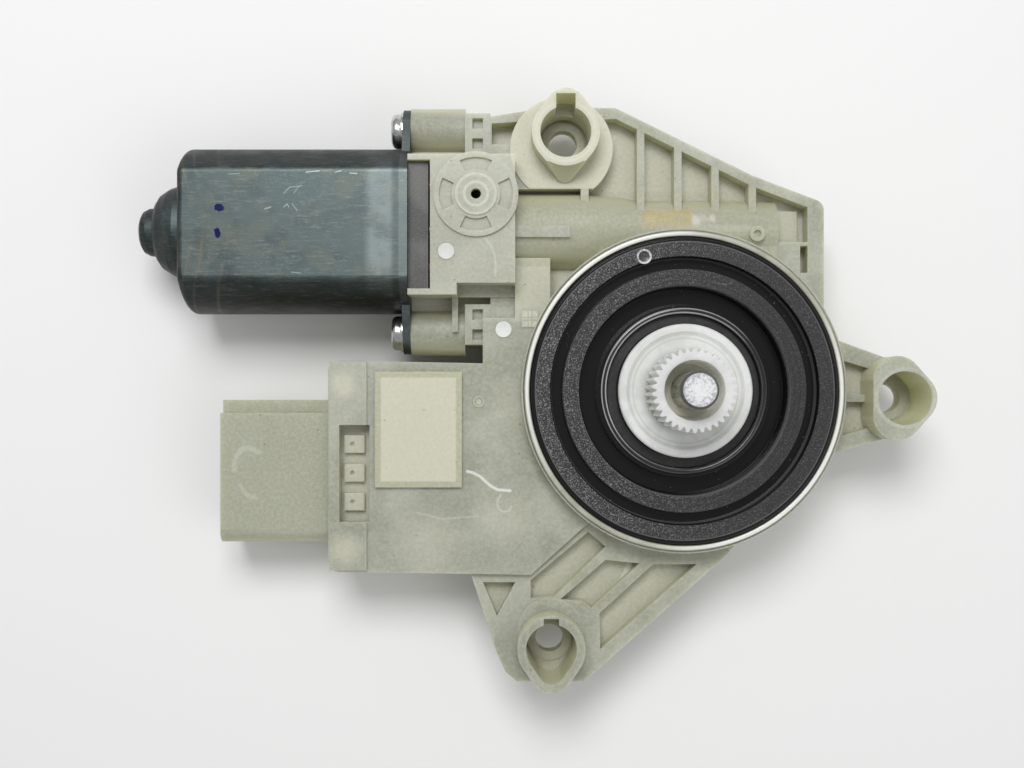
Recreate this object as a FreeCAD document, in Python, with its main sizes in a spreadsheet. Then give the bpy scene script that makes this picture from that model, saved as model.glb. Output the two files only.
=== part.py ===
# Power window gear motor with a built-in control box.
# A flat-sided motor can drives a worm. The worm turns a wheel that lies flat in a round drum,
# and the wheel turns a splined hub through a rubber damper. Three bosses bolt the housing down.
# Origin: the hub's axis where it meets the surface that the motor lies on. +Z is the hub's side.

import FreeCAD
import Part
import Sketcher
import math
import os
import re

# Driving dimensions, in millimetres, degrees or plain counts.
SIZES = {
    # Worm and wheel
    "gear_module": 0.9,
    "wheel_teeth": 72,
    "worm_pitch_radius": 4.6,
    "tooth_addendum": 0.8,
    "tooth_dedendum": 1.0,
    "tooth_backlash": 0.34,
    "pressure_angle": 20,
    "worm_turns": 6.5,
    "motor_axis_height": 14.5,
    "wheel_width": 12,
    "wheel_rim": 4,
    "wheel_web": 2.5,
    "damper_outer_radius": 21.3,
    "damper_gap": 0.2,
    "damper_height": 7.4,
    "wheel_hub_radius": 7,
    "vane_count": 3,
    "vane_width": 3,
    # Drum and its cover
    "gear_room_gap": 0.6,
    "drum_wall": 2.4,
    "drum_height": 27,
    "drum_floor": 2.5,
    "tower_radius": 7,
    "wheel_end_float": 0.3,
    "cover_ledge": 0.6,
    "cover_seat_depth": 3,
    "cover_fit": 0.15,
    "cover_proud": 1,
    "cover_skin": 1.2,
    "cover_spigot_wall": 1.8,
    "seal_ring_inner": 29.5,
    "seal_ring_thickness": 1.5,
    "groove_inner": 27,
    "groove_depth": 3.2,
    "second_ring_inner": 23.5,
    "valley_inner": 19.3,
    "valley_depth": 5.4,
    "sleeve_inner": 17.1,
    "sleeve_drop": 1.5,
    "cover_opening": 14.4,
    "lip_seal_height": 2.6,
    "lip_seal_gap": 0.1,
    # Hub and its axle
    "pin_radius": 4,
    "pin_top": 48.5,
    "pin_foot": 0.9,
    "pin_chamfer": 0.6,
    "running_gap": 0.05,
    "hub_plate_thickness": 1.5,
    "hub_neck_radius": 13.6,
    "hub_disc_radius": 14.8,
    "hub_disc_bottom": 27.2,
    "hub_disc_thickness": 2.4,
    "hub_disc_rim": 1.7,
    "hub_disc_dish": 0.6,
    "hub_top": 42,
    "hub_tip_radius": 9,
    "hub_root_radius": 8.1,
    "hub_teeth": 34,
    "hub_well_radius": 6.4,
    "hub_well_floor": 32.6,
    "ring_groove_depth": 0.5,
    "ring_thickness": 0.9,
    "ring_radius": 5.7,
    # Ribbed wings that carry the bosses
    "wing_bottom": 9,
    "wing_top": 20.5,
    "wing_floor": 16,
    "low_floor": 17.4,
    "web_thickness": 2,
    "wing_bend_y": 49.2,
    "wing_end_x": 32.9,
    "wing_end_y": 43,
    "end_wall": 3.7,
    "rib_pitch": 8.5,
    "rib_width": 1.7,
    "rib_count": 4,
    "first_rib_x": -8.9,
    "edge_wall": 2.2,
    "corner_round": 2.5,
    # Bosses
    "boss_top_x": -26.3,
    "boss_top_y": 57.8,
    "boss_right_x": 49.3,
    "boss_right_y": -1.6,
    "boss_low_x": -29.5,
    "boss_low_y": -57.7,
    "boss_radius": 7.6,
    "boss_tip_radius": 4.8,
    "boss_tip_reach": 4.9,
    "boss_height": 27,
    "boss_wall": 1.9,
    "boss_hole_radius": 3.3,
    "recess_radius": 5.7,
    "notch_width": 4.3,
    "notch_reach": 8.5,
    "notch_floor": 17.5,
    "boss_seat_height": 13,
    "seat_ring_radius": 5.2,
    "seat_ring_height": 0.5,
    "platform_radius": 11.7,
    "platform_height": 21,
    "platform_flat": 9.2,
    "platform_shift": 2.5,
    "platform_lean": 0.7,
    "keel_reach": 8,
    "keel_radius": 2.4,
    "low_platform_radius": 7.6,
    "low_platform_shift": 3,
    "lobe_radius": 5.4,
    "lobe_spread": 4,
    "lobe_back": 1.7,
    "nose_radius": 5.8,
    "nose_reach": 1.3,
    # Worm tunnel
    "tunnel_radius": 9,
    "tunnel_slim_radius": 7.2,
    "tunnel_bore": 5.8,
    "tunnel_end_x": 22.3,
    "tunnel_wall": 2.2,
    "tunnel_foot": 3,
    "taper_start": -22,
    "taper_end": -8,
    "end_block_top": 17.5,
    "nub_x": -21.7,
    "nub_width": 1.8,
    "nub_low_y": 42.7,
    "bar_end_x": -25.2,
    "bar_height": 0.7,
    "mark_x": 17.4,
    "mark_drop": 1.3,
    "mark_radius": 1.7,
    # Motor block
    "block_left": -61.5,
    "block_right": -37.6,
    "block_half_width": 15.6,
    "block_bottom": 1,
    "block_top": 28,
    "block_cavity_half": 14.3,
    "block_cavity_inner_half": 11.6,
    "block_cavity_end": -42,
    "block_skin": 1.5,
    "base_half_width": 23.5,
    "base_bottom": 5,
    "base_top": 16,
    "window_width": 5,
    "screw_offset": 23.5,
    "screw_boss_radius": 5.2,
    "screw_boss_length": 12.5,
    "screw_hole_radius": 1.75,
    "ledge_left": -50.6,
    "ledge_width": 2.6,
    "ledge_height": 21,
    "pad_x": -46.3,
    "pad_shift": 6.6,
    "pad_radius": 9.4,
    "pad_height": 0.7,
    "pad_inner_radius": 4.7,
    "pad_pocket_inner": 5.4,
    "pad_pocket_outer": 8.2,
    "pad_pocket_half_angle": 26,
    "pad_hole_radius": 1.15,
    "rivet_block_length": 5.8,
    "rivet_block_width": 9.2,
    "rivet_offset": 21.8,
    "rivet_block_top": 20.6,
    "rivet_hole": 2.4,
    "rivet_hole_depth": 1.6,
    # Electronics box
    "box_left": -80,
    "box_top_y": 7,
    "box_low_y": -41,
    "box_taper": 0.7,
    "box_bottom": 2,
    "box_height": 22,
    "box_wall": 2,
    "box_cavity_end": -44,
    "step_left": -44.9,
    "step_inner_y": 16.6,
    "step_right": -29.6,
    "step_outer_y": 30.2,
    "band_width": 8.8,
    "band_height": 0.8,
    "panel_left": -69.3,
    "panel_width": 19.7,
    "panel_top_y": 4.4,
    "panel_length": 26.2,
    "panel_height": 1,
    "slot_left": -77.4,
    "slot_width": 6.8,
    "slot_top_y": -7.7,
    "slot_length": 22,
    "channel_bottom": 9,
    "channel_height": 5,
    "channel_width": 3,
    "channel_right": -39.5,
    "channel_low_y": 1,
    "channel_top_y": 30,
    # Connector
    "shroud_left": -105,
    "shroud_top_y": -2,
    "shroud_low_y": -34.7,
    "shroud_bottom": 3.5,
    "shroud_top": 20,
    "shroud_wall": 1.8,
    "shroud_step": 3,
    "shroud_step_drop": 2.8,
    "shroud_round": 3,
    "shroud_floor_x": -83,
    "collar_depth": 2,
    "plug_fit": 0.2,
    "plug_depth": 10.5,
    "pillar_count": 3,
    "pillar_size": 4,
    "pillar_pitch": 6.6,
    "pillar_height": 1.4,
    "pillar_dot": 0.5,
    "blade_count": 6,
    "blade_pitch": 4.4,
    "blade_width": 1.5,
    "blade_thickness": 0.8,
    "blade_tip_x": -92,
    "blade_height": 12.8,
    "blade_end_x": -66.5,
    # Circuit board and what stands on it
    "board_bottom": 9,
    "board_thickness": 1.6,
    "board_left": -68.8,
    "board_right": -44.6,
    "relay_length": 15,
    "relay_width": 10,
    "relay_height": 8,
    "relay_gap": 1.5,
    "relay_left": -62.5,
    "relay_top_y": 1.5,
    "capacitor_radius": 4,
    "capacitor_length": 9,
    "chip_size": 7,
    "chip_height": 1.2,
    "strip_width": 1.4,
    "strip_thickness": 0.8,
    "strip_gap": 0.8,
    # Motor can
    "can_radius": 19,
    "can_half_flat": 14.5,
    "can_wall": 1.6,
    "can_rear": -112.7,
    "can_edge_round": 1.5,
    "can_corner_round": 2.2,
    "flange_thickness": 1.8,
    "ear_radius": 4.9,
    "flange_half_height": 13.2,
    "cup_radius": 10.8,
    "cup_small_radius": 7.3,
    "cup_length": 7.5,
    "cap_radius": 5.7,
    "cap_length": 4,
    "cap_wall": 1,
    "bearing_radius": 4.5,
    "bearing_length": 4,
    # Screws
    "screw_radius": 1.75,
    "screw_length": 11,
    "head_radius": 4,
    "head_height": 2.3,
    "washer_radius": 4.4,
    "washer_thickness": 0.6,
    "socket_radius": 1.7,
    "socket_depth": 1.2,
    # Magnets, armature and brushes
    "magnet_inner": 13.2,
    "magnet_gap": 0.1,
    "magnet_rear": -108,
    "magnet_front": -73,
    "magnet_half_angle": 44,
    "core_radius": 12.3,
    "core_rear": -104,
    "core_front": -79,
    "core_slots": 10,
    "core_slot_width": 1.6,
    "core_slot_depth": 4.5,
    "winding_radius": 11.2,
    "winding_length": 5,
    "winding_inner": 5,
    "commutator_radius": 6.5,
    "commutator_rear": -73.4,
    "commutator_front": -62.5,
    "bar_count": 10,
    "bar_slot": 0.6,
    "bar_slot_depth": 0.8,
    "shaft_radius": 3,
    "shaft_rear_radius": 2.5,
    "shaft_gap": 0.05,
    "shaft_rear": -122.6,
    "shaft_step": -117,
    "shaft_front": 18,
    "worm_root_run": 2,
    "ring_magnet_rear": -47,
    "ring_magnet_front": -43.5,
    "ring_magnet_radius": 7,
    "front_bearing_rear": -40.5,
    "front_bearing_front": -34,
    "end_bearing_rear": 13.5,
    "end_bearing_front": 17.2,
    "plug_thickness": 1.9,
    "holder_front": -57,
    "holder_fit": 0.1,
    "holder_plate": 2.4,
    "holder_section_gap": 0.3,
    "holder_bore": 8,
    "brush_box_length": 8,
    "brush_box_outer": 14.6,
    "brush_box_wall": 0.9,
    "brush_length": 5,
    "brush_depth": 5.4,
    "brush_height": 4,
    "brush_gap": 0.1,
    "leaf_thickness": 0.4,
    "choke_radius": 2.1,
    "choke_length": 3.2,
    "choke_offset": 9.2,
}

# Sizes that follow from the ones above.
WORKED = {
    "wheel_pitch_radius": "gear_module * wheel_teeth / 2",
    "wheel_tip_radius": "wheel_pitch_radius + tooth_addendum",
    "wheel_root_radius": "wheel_pitch_radius - tooth_dedendum",
    "worm_tip_radius": "worm_pitch_radius + tooth_addendum",
    "worm_root_radius": "worm_pitch_radius - tooth_dedendum",
    "worm_pitch": "pi * gear_module",
    "worm_length": "worm_turns * worm_pitch",
    "axis_offset": "wheel_pitch_radius + worm_pitch_radius",
    "wheel_bottom": "motor_axis_height - wheel_width / 2",
    "wheel_top": "motor_axis_height + wheel_width / 2",
    "gear_room_radius": "wheel_tip_radius + gear_room_gap",
    "drum_radius": "gear_room_radius + drum_wall",
    "cover_seat_radius": "gear_room_radius + cover_ledge",
    "cover_radius": "cover_seat_radius - cover_fit",
    "cover_top": "drum_height + cover_proud",
    "cover_seat": "drum_height - cover_seat_depth",
    "valley_floor": "cover_top - valley_depth",
    "cover_underside": "valley_floor - cover_skin",
    "spigot_radius": "gear_room_radius - cover_fit",
    "lip_seal_seat": "cover_underside + cover_skin",
    "tower_top": "wheel_bottom - wheel_end_float",
    "damper_inner_radius": "wheel_hub_radius + damper_gap",
    "damper_bottom": "wheel_bottom + wheel_web + damper_gap",
    "damper_top": "damper_bottom + damper_height",
    "hub_plate_bottom": "damper_top + damper_gap",
    "hub_plate_top": "hub_plate_bottom + hub_plate_thickness",
    "hub_plate_radius": "damper_outer_radius - damper_gap",
    "hub_bore": "pin_radius + running_gap",
    "hub_disc_top": "hub_disc_bottom + hub_disc_thickness",
    "ring_bottom": "hub_well_floor + 2 * running_gap",
    "ring_top": "ring_bottom + ring_thickness",
    "can_front": "block_left",
    "flange_rear": "block_left - flange_thickness",
    "block_low_y": "axis_offset - block_half_width",
    "block_high_y": "axis_offset + block_half_width",
    "screw_low_y": "axis_offset - screw_offset",
    "screw_high_y": "axis_offset + screw_offset",
    "pad_y": "axis_offset + pad_shift",
    "cavity_half_height": "block_top - block_skin - motor_axis_height",
    "box_ceiling": "box_height - box_wall",
    "box_floor": "box_bottom + box_wall",
    "band_right": "box_left + band_width",
    "plug_right": "box_left + plug_depth",
    "board_top": "board_bottom + board_thickness",
    "can_inner_radius": "can_radius - can_wall",
    "can_inner_flat": "can_half_flat - can_wall",
    "cup_rear": "can_rear - cup_length",
    "cap_rear": "cup_rear - cap_length",
    "worm_start": "-worm_length / 2",
    "wing_edge_x": "boss_top_x + platform_radius",
    "wing_edge_y": "boss_top_y + 6.8",
    "wing_bend_x": "first_rib_x + (rib_count - 1) * rib_pitch",
    "wing_slope": "(wing_bend_y - wing_edge_y) / (wing_bend_x - wing_edge_x)",
    "wing_end_slope": "(wing_end_y - wing_bend_y) / (wing_end_x - wing_bend_x)",
    "rivet_block_end": "block_left + screw_boss_length + rivet_block_length",
    "rivet_low_y": "axis_offset - rivet_offset",
    "rivet_high_y": "axis_offset + rivet_offset",
}

doc = FreeCAD.newDocument("window_motor")


def fill_sheet(name, cells, text_of):
    """Writes one row for each cell: its alias in column A, its content in column B."""
    sheet = doc.addObject("Spreadsheet::Sheet", name)
    for row, (alias, content) in enumerate(cells.items(), 1):
        sheet.set(f"A{row}", alias)
        sheet.set(f"B{row}", text_of(content))
        sheet.setAlias(f"B{row}", alias)
    return sheet


def expr(text):
    """The expression with each size's name pointed at its sheet."""

    def pointed(found):
        word = found.group()
        if word in SIZES:
            return "Dims." + word
        if word in WORKED:
            return "Worked." + word
        return word

    return re.sub(r"[a-z_]+[a-z_0-9]*", pointed, str(text))


dims = fill_sheet("Dims", SIZES, str)
doc.recompute()
worked = fill_sheet("Worked", WORKED, lambda formula: "=" + expr(formula))
doc.recompute()


def num(text):
    """The expression's value now."""
    value = dims.evalExpression(expr(text))
    return float(getattr(value, "Value", value))


class Drawing:
    """A sketch on one of a body's own planes. Every point and radius in it is tied to the sheet."""

    def __init__(self, body, plane="XY", lift="0"):
        self.body = body
        self.sketch = body.newObject("Sketcher::SketchObject", "sketch")
        origin = next(f for f in body.Origin.OriginFeatures if f.Role == plane + "_Plane")
        self.sketch.AttachmentSupport = [(origin, "")]
        self.sketch.MapMode = "FlatFace"
        # The XZ plane faces -Y, so its lift is turned round.
        lift = f"-({lift})" if plane == "XZ" else lift
        self.sketch.setExpression(".AttachmentOffset.Base.z", expr(lift))

    def tie(self, shape, end, x, y):
        """Holds a point of a shape at two expressions from the sketch's origin."""
        for kind, axis, place in (("DistanceX", -2, x), ("DistanceY", -1, y)):
            if str(place) == "0":
                self.sketch.addConstraint(Sketcher.Constraint("PointOnObject", shape, end, axis))
                continue
            rule = Sketcher.Constraint(kind, -1, 1, shape, end, num(place))
            index = self.sketch.addConstraint(rule)
            self.sketch.setExpression(f"Constraints[{index}]", expr(place))

    def size(self, shape, radius):
        index = self.sketch.addConstraint(Sketcher.Constraint("Radius", shape, num(radius)))
        self.sketch.setExpression(f"Constraints[{index}]", expr(radius))

    def polygon(self, *corners):
        """A closed loop through the corners, each a pair of expressions."""
        points = [FreeCAD.Vector(num(x), num(y), 0) for x, y in corners]
        following = points[1:] + points[:1]
        lines = [
            self.sketch.addGeometry(Part.LineSegment(a, b), False)
            for a, b in zip(points, following)
        ]
        for line, after in zip(lines, lines[1:] + lines[:1]):
            self.sketch.addConstraint(Sketcher.Constraint("Coincident", line, 2, after, 1))
        for line, (x, y) in zip(lines, corners):
            self.tie(line, 1, x, y)
        return self

    def rectangle(self, left, low, right, high):
        return self.polygon((left, low), (right, low), (right, high), (left, high))

    def circle(self, x, y, radius):
        ring = Part.Circle(
            FreeCAD.Vector(num(x), num(y), 0), FreeCAD.Vector(0, 0, 1), num(radius)
        )
        shape = self.sketch.addGeometry(ring, False)
        self.tie(shape, 3, x, y)
        self.size(shape, radius)
        return self

    def arc(self, x, y, radius, start, stop):
        """An arc from one angle to the next, in radians; its ends are left to their neighbours."""
        ring = Part.Circle(
            FreeCAD.Vector(num(x), num(y), 0), FreeCAD.Vector(0, 0, 1), num(radius)
        )
        shape = self.sketch.addGeometry(Part.ArcOfCircle(ring, start, stop), False)
        self.tie(shape, 3, x, y)
        self.size(shape, radius)
        return shape

    def drop(self, x, y, radius, tip_x, tip_y, tip_radius):
        """A teardrop: a large and a small arc joined by their two outer tangents."""
        centre = FreeCAD.Vector(num(x), num(y), 0)
        tip = FreeCAD.Vector(num(tip_x), num(tip_y), 0)
        along = tip - centre
        heading = math.atan2(along.y, along.x)
        lean = math.acos((num(radius) - num(tip_radius)) / along.Length)
        big = self.arc(x, y, radius, heading + lean, heading - lean + 2 * math.pi)
        small = self.arc(tip_x, tip_y, tip_radius, heading - lean, heading + lean)

        def on(middle, size, angle):
            return middle + FreeCAD.Vector(math.cos(angle), math.sin(angle), 0) * num(size)

        for side, big_end, small_end in ((-1, 2, 1), (1, 1, 2)):
            start = on(centre, radius, heading + side * lean)
            stop = on(tip, tip_radius, heading + side * lean)
            line = self.sketch.addGeometry(Part.LineSegment(start, stop), False)
            for line_end, arc, arc_end in ((1, big, big_end), (2, small, small_end)):
                rule = Sketcher.Constraint("Tangent", line, line_end, arc, arc_end)
                self.sketch.addConstraint(rule)
        return self

    def flatted(self, radius, half_flat):
        """A circle about the origin with its top and bottom cut flat."""
        lean = math.asin(num(half_flat) / num(radius))
        right = self.arc("0", "0", radius, -lean, lean)
        left = self.arc("0", "0", radius, math.pi - lean, math.pi + lean)
        reach = num(radius) * math.cos(lean)
        for level, right_end, left_end in ((1, 2, 1), (-1, 1, 2)):
            height = level * num(half_flat)
            line = self.sketch.addGeometry(
                Part.LineSegment(
                    FreeCAD.Vector(reach, height, 0), FreeCAD.Vector(-reach, height, 0)
                ),
                False,
            )
            self.sketch.addConstraint(
                Sketcher.Constraint("Coincident", line, 1, right, right_end)
            )
            self.sketch.addConstraint(
                Sketcher.Constraint("Coincident", line, 2, left, left_end)
            )
            self.sketch.addConstraint(Sketcher.Constraint("Horizontal", line))
            rule = Sketcher.Constraint("DistanceY", -1, 1, line, 1, height)
            index = self.sketch.addConstraint(rule)
            self.sketch.setExpression(
                f"Constraints[{index}]", expr(half_flat if level > 0 else f"-({half_flat})")
            )
        return self

    def sector(self, inner, outer, middle_deg, half_deg, x="0", y="0"):
        """A piece of a ring about a centre, with radial ends."""
        middle, half = math.radians(middle_deg), math.radians(num(half_deg))
        centre = FreeCAD.Vector(num(x), num(y), 0)
        arcs = [self.arc(x, y, radius, middle - half, middle + half) for radius in (inner, outer)]
        for end, side in ((1, -1), (2, 1)):
            turn = middle + side * half
            out = FreeCAD.Vector(math.cos(turn), math.sin(turn), 0)
            line = self.sketch.addGeometry(
                Part.LineSegment(centre + out * num(inner), centre + out * num(outer)), False
            )
            for line_end, arc, radius in ((1, arcs[0], inner), (2, arcs[1], outer)):
                joint = Sketcher.Constraint("Coincident", line, line_end, arc, end)
                self.sketch.addConstraint(joint)
                # The end is held along the axis that it moves on most as the angle changes.
                angle = f"({middle_deg} + ({side}) * ({half_deg})) * 1deg"
                if abs(out.x) > abs(out.y):
                    kind, place = "DistanceY", f"{y} + ({radius}) * sin({angle})"
                else:
                    kind, place = "DistanceX", f"{x} + ({radius}) * cos({angle})"
                rule = Sketcher.Constraint(kind, -1, 1, line, line_end, num(place))
                index = self.sketch.addConstraint(rule)
                self.sketch.setExpression(f"Constraints[{index}]", expr(place))
        return self


def new_body(label):
    body = doc.addObject("PartDesign::Body", label)
    body.Label = label
    return body


def on_motor_axis(body):
    """Puts the body's X axis on the motor's axis."""
    body.setExpression(".Placement.Base.y", expr("axis_offset"))
    body.setExpression(".Placement.Base.z", expr("motor_axis_height"))
    return body


def pad(drawing, length, back=False):
    feature = drawing.body.newObject("PartDesign::Pad", "pad")
    feature.Profile = drawing.sketch
    feature.setExpression("Length", expr(length))
    feature.Reversed = back
    return feature


def pocket(drawing, depth, back=False):
    """Cuts against the sketch's normal, or along it with back."""
    feature = drawing.body.newObject("PartDesign::Pocket", "pocket")
    feature.Profile = drawing.sketch
    feature.setExpression("Length", expr(depth))
    feature.Reversed = back
    return feature


def turned(drawing, axis="V_Axis", cut=False):
    kind = "Groove" if cut else "Revolution"
    feature = drawing.body.newObject("PartDesign::" + kind, kind.lower())
    feature.Profile = drawing.sketch
    feature.ReferenceAxis = (drawing.sketch, [axis])
    feature.Angle = 360
    return feature


def round_about(body, feature, count, role="Z_Axis"):
    """Repeats a feature round one of the body's own axes."""
    pattern = body.newObject("PartDesign::PolarPattern", "pattern")
    axis = next(f for f in body.Origin.OriginFeatures if f.Role == role)
    pattern.Originals = [feature]
    pattern.Axis = (axis, [""])
    pattern.Angle = 360
    pattern.setExpression("Occurrences", expr(count))
    body.Tip = pattern
    return pattern


def soften(body, radius, pick, kind="Fillet"):
    """Rounds or bevels the edges of the body's tip that pick accepts."""
    doc.recompute()
    base = body.Tip
    names = [f"Edge{n}" for n, edge in enumerate(base.Shape.Edges, 1) if pick(edge)]
    if not names:
        raise RuntimeError(f"{body.Label}: no edge to soften")
    feature = body.newObject("PartDesign::" + kind, kind.lower())
    feature.Base = (base, names)
    feature.setExpression("Radius" if kind == "Fillet" else "Size", expr(radius))
    return feature


def near(value, text, slack=0.02):
    return abs(value - num(text)) < slack


def spans(edge, axis):
    """True if the edge is straight along X, Y or Z."""
    if not isinstance(edge.Curve, (Part.Line, Part.LineSegment)):
        return False
    box = edge.BoundBox
    lengths = {"X": box.XLength, "Y": box.YLength, "Z": box.ZLength}
    return lengths[axis] > 0.5 and all(v < 0.01 for k, v in lengths.items() if k != axis)


def toothed_corners(teeth, root, tip, half_root, half_tip, height, turn=0.0, mid=None):
    """The corners round a gear: for each tooth two at the root, two at the tip and, with mid,
    one on each flank. Angles are in radians."""
    corners = []
    for index in range(teeth):
        centre = (index + 0.5) * 2 * math.pi / teeth + turn
        steps = [(-half_root, root), (-half_tip, tip), (half_tip, tip), (half_root, root)]
        if mid:
            half_mid, mid_radius = mid
            steps.insert(1, (-half_mid, mid_radius))
            steps.insert(4, (half_mid, mid_radius))
        for lean, radius in steps:
            corners.append(
                FreeCAD.Vector(
                    radius * math.cos(centre + lean), radius * math.sin(centre + lean), height
                )
            )
    return corners


def fused(label, *pieces):
    """One solid from pieces that overlap or share faces."""
    joined = doc.addObject("Part::MultiFuse", label)
    joined.Label = label
    joined.Shapes = list(pieces)
    joined.Refine = True
    return joined


# The main moulding


def gear_housing():
    body = new_body("gear_housing")
    pad(Drawing(body).circle("0", "0", "drum_radius"), "wing_bottom")
    wings(body)
    top_platform(body)
    pad(Drawing(body).circle("0", "0", "drum_radius"), "drum_height")
    worm_tunnel(body)
    motor_block(body)
    electronics_box(body)
    bosses(body)
    hollows(body)
    return body


def upper_wing(drawing):
    """Outline from the motor block past the top boss to a square right-hand end."""
    return drawing.polygon(
        ("rivet_block_end", "screw_high_y + 2.2"),
        ("boss_top_x - platform_radius + 2.5", "screw_high_y + 3.4"),
        ("boss_top_x", "boss_top_y + 7"),
        ("wing_edge_x", "wing_edge_y"),
        ("wing_bend_x", "wing_bend_y"),
        ("wing_end_x", "wing_end_y"),
        ("wing_end_x", "drum_radius / 2"),
        ("0", "0"),
        ("rivet_block_end", "step_inner_y"),
    )


def low_wing(drawing):
    """Outline that narrows from the box and the drum to the low boss."""
    return drawing.polygon(
        ("boss_low_x - 18", "box_low_y + 3"),
        ("boss_low_x - 18", "box_low_y - 1.2"),
        ("boss_low_x - 12.2", "boss_low_y - 2"),
        ("boss_low_x - 10.2", "boss_low_y - 6.4"),
        ("boss_low_x - 7.6", "boss_low_y - 8.6"),
        ("boss_low_x + 7.7", "boss_low_y - 8.6"),
        ("10.1", "-38.1"),
        ("20", "-27"),
        ("0", "0"),
    )


def right_arm(drawing):
    """Outline from the drum to the right boss."""
    return drawing.polygon(
        ("drum_radius - 4", "13"),
        ("boss_right_x - lobe_back", "boss_right_y + lobe_spread + lobe_radius - 0.4"),
        ("boss_right_x - lobe_back", "boss_right_y - lobe_spread - lobe_radius + 0.4"),
        ("drum_radius - 4", "-15"),
    )


def wings(body):
    """The slabs that carry the bosses. The cells between their ribs are open above and below a
    thin web. Some cells run on under what is built up later, so that they end at its foot."""
    outlines = ((upper_wing, "wing_floor"), (low_wing, "low_floor"), (right_arm, "low_floor"))
    for outline, _ in outlines:
        pad(outline(Drawing(body, lift="wing_bottom")), "wing_top - wing_bottom")
    cells = Drawing(body, lift="wing_top")
    upper_cells(cells)
    low_cells(cells)
    pocket(cells, "wing_top - wing_bottom")
    for outline, floor in outlines:
        pad(outline(Drawing(body, lift=f"{floor} - web_thickness")), "web_thickness")
    soften(
        body,
        "corner_round",
        lambda e: spans(e, "Z") and near(e.BoundBox.XMin, "wing_end_x") and e.BoundBox.YMin > 30,
    )


def upper_cells(cells):
    """The cells of the upper wing."""
    half = "rib_width / 2"
    foot = "axis_offset - tunnel_foot"

    def edge(x, bend):
        """The inner side of the upper wing's slanting wall, before or after its bend."""
        slope = "wing_end_slope" if bend else "wing_slope"
        return f"wing_bend_y - edge_wall * 1.1 + {slope} * ({x} - (wing_bend_x))"

    for index in range(int(num("rib_count"))):
        last = index == int(num("rib_count")) - 1
        left = f"first_rib_x + {index} * rib_pitch + {half}"
        right = "wing_end_x - end_wall" if last else f"first_rib_x + {index + 1} * rib_pitch - {half}"
        cells.polygon((left, foot), (right, foot), (right, edge(right, last)), (left, edge(left, last)))
    # Beside and under the top boss.
    first = f"first_rib_x - {half}"
    cells.polygon(
        ("boss_top_x - platform_radius + 4.5", foot),
        (first, foot),
        (first, edge(first, False)),
        ("wing_edge_x", edge("wing_edge_x", False)),
        ("boss_top_x + 6", "boss_top_y + 4"),
        ("boss_top_x - platform_radius + 4.5", "boss_top_y - 1.8"),
    )
    # Between the motor block and the top boss.
    cells.polygon(
        ("rivet_block_end + 0.3", "screw_high_y - 4.2"),
        ("boss_top_x - platform_radius + 3.5", "screw_high_y - 4.2"),
        ("boss_top_x - platform_radius + 3.5", "screw_high_y + 1.2"),
        ("rivet_block_end + 0.3", "screw_high_y + 0.6"),
    )
    # Narrow pocket in the right-hand end wall.
    cells.rectangle(
        "wing_end_x - end_wall - 1.7", "axis_offset - 10", "wing_end_x - end_wall", f"{foot} - {half}"
    )
    # Low corner between the tunnel, the drum and the step.
    cells.rectangle("step_right - 1", "step_inner_y + 4", "-drum_radius / 2", "axis_offset - 4")


def low_cells(cells):
    """The cells of the lower wing: a triangle beside the box, then three between the slanting
    ribs. The right arm has one each side of its middle rib."""
    half = "rib_width / 2"
    cells.polygon(
        ("boss_low_x - 15.4", "boss_low_y + 14.1"),
        ("boss_low_x - 8", "boss_low_y + 14.1"),
        ("boss_low_x - 12.2", "boss_low_y + 6.4"),
    )
    cells.polygon(
        ("boss_low_x - 4.5", "boss_low_y + 14.6"),
        ("boss_low_x - 4.5", "boss_low_y + 10.4"),
        ("boss_low_x + 0.8", "boss_low_y + 10.8"),
        ("boss_low_x + 12.6", "boss_low_y + 22.2"),
        ("boss_low_x + 8.6", "boss_low_y + 25.6"),
    )
    cells.polygon(
        ("boss_low_x + 2.3", "boss_low_y + 10.2"),
        ("boss_low_x + 7.5", "boss_low_y + 9.8"),
        ("boss_low_x + 9.4", "boss_low_y + 8.2"),
        ("boss_low_x + 20.4", "boss_low_y + 18.4"),
        ("boss_low_x + 12.6", "boss_low_y + 19.2"),
    )
    cells.polygon(
        ("boss_low_x + 11.2", "boss_low_y + 7"),
        ("boss_low_x + 23.4", "boss_low_y + 18.2"),
        ("boss_low_x + 33.4", "boss_low_y + 18.2"),
        ("boss_low_x + 11.4", "boss_low_y - 1.2"),
    )
    for side in (1, -1):
        cells.polygon(
            ("drum_radius + 1.4", f"boss_right_y + {side} * {half}"),
            ("boss_right_x - 5", f"boss_right_y + {side} * {half}"),
            ("boss_right_x - 5", f"boss_right_y + {side} * (lobe_spread + 2.5)"),
            ("drum_radius + 1", f"boss_right_y + {side} * (lobe_spread + 4.6)"),
        )


def top_platform(body):
    """Round platform under the top boss, cut straight on the tunnel's side."""
    x, y = "boss_top_x - platform_lean", "boss_top_y - platform_shift"
    platform = Drawing(body, lift="wing_bottom")
    platform.circle(x, y, "platform_radius")
    pad(platform, "platform_height - wing_bottom")
    trim = Drawing(body, lift="platform_height")
    trim.rectangle(
        f"{x} - platform_radius - 1",
        f"{y} - platform_radius - 1",
        f"{x} + platform_radius + 1",
        f"{y} - platform_flat",
    )
    pocket(trim, "platform_height - wing_floor")


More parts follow.
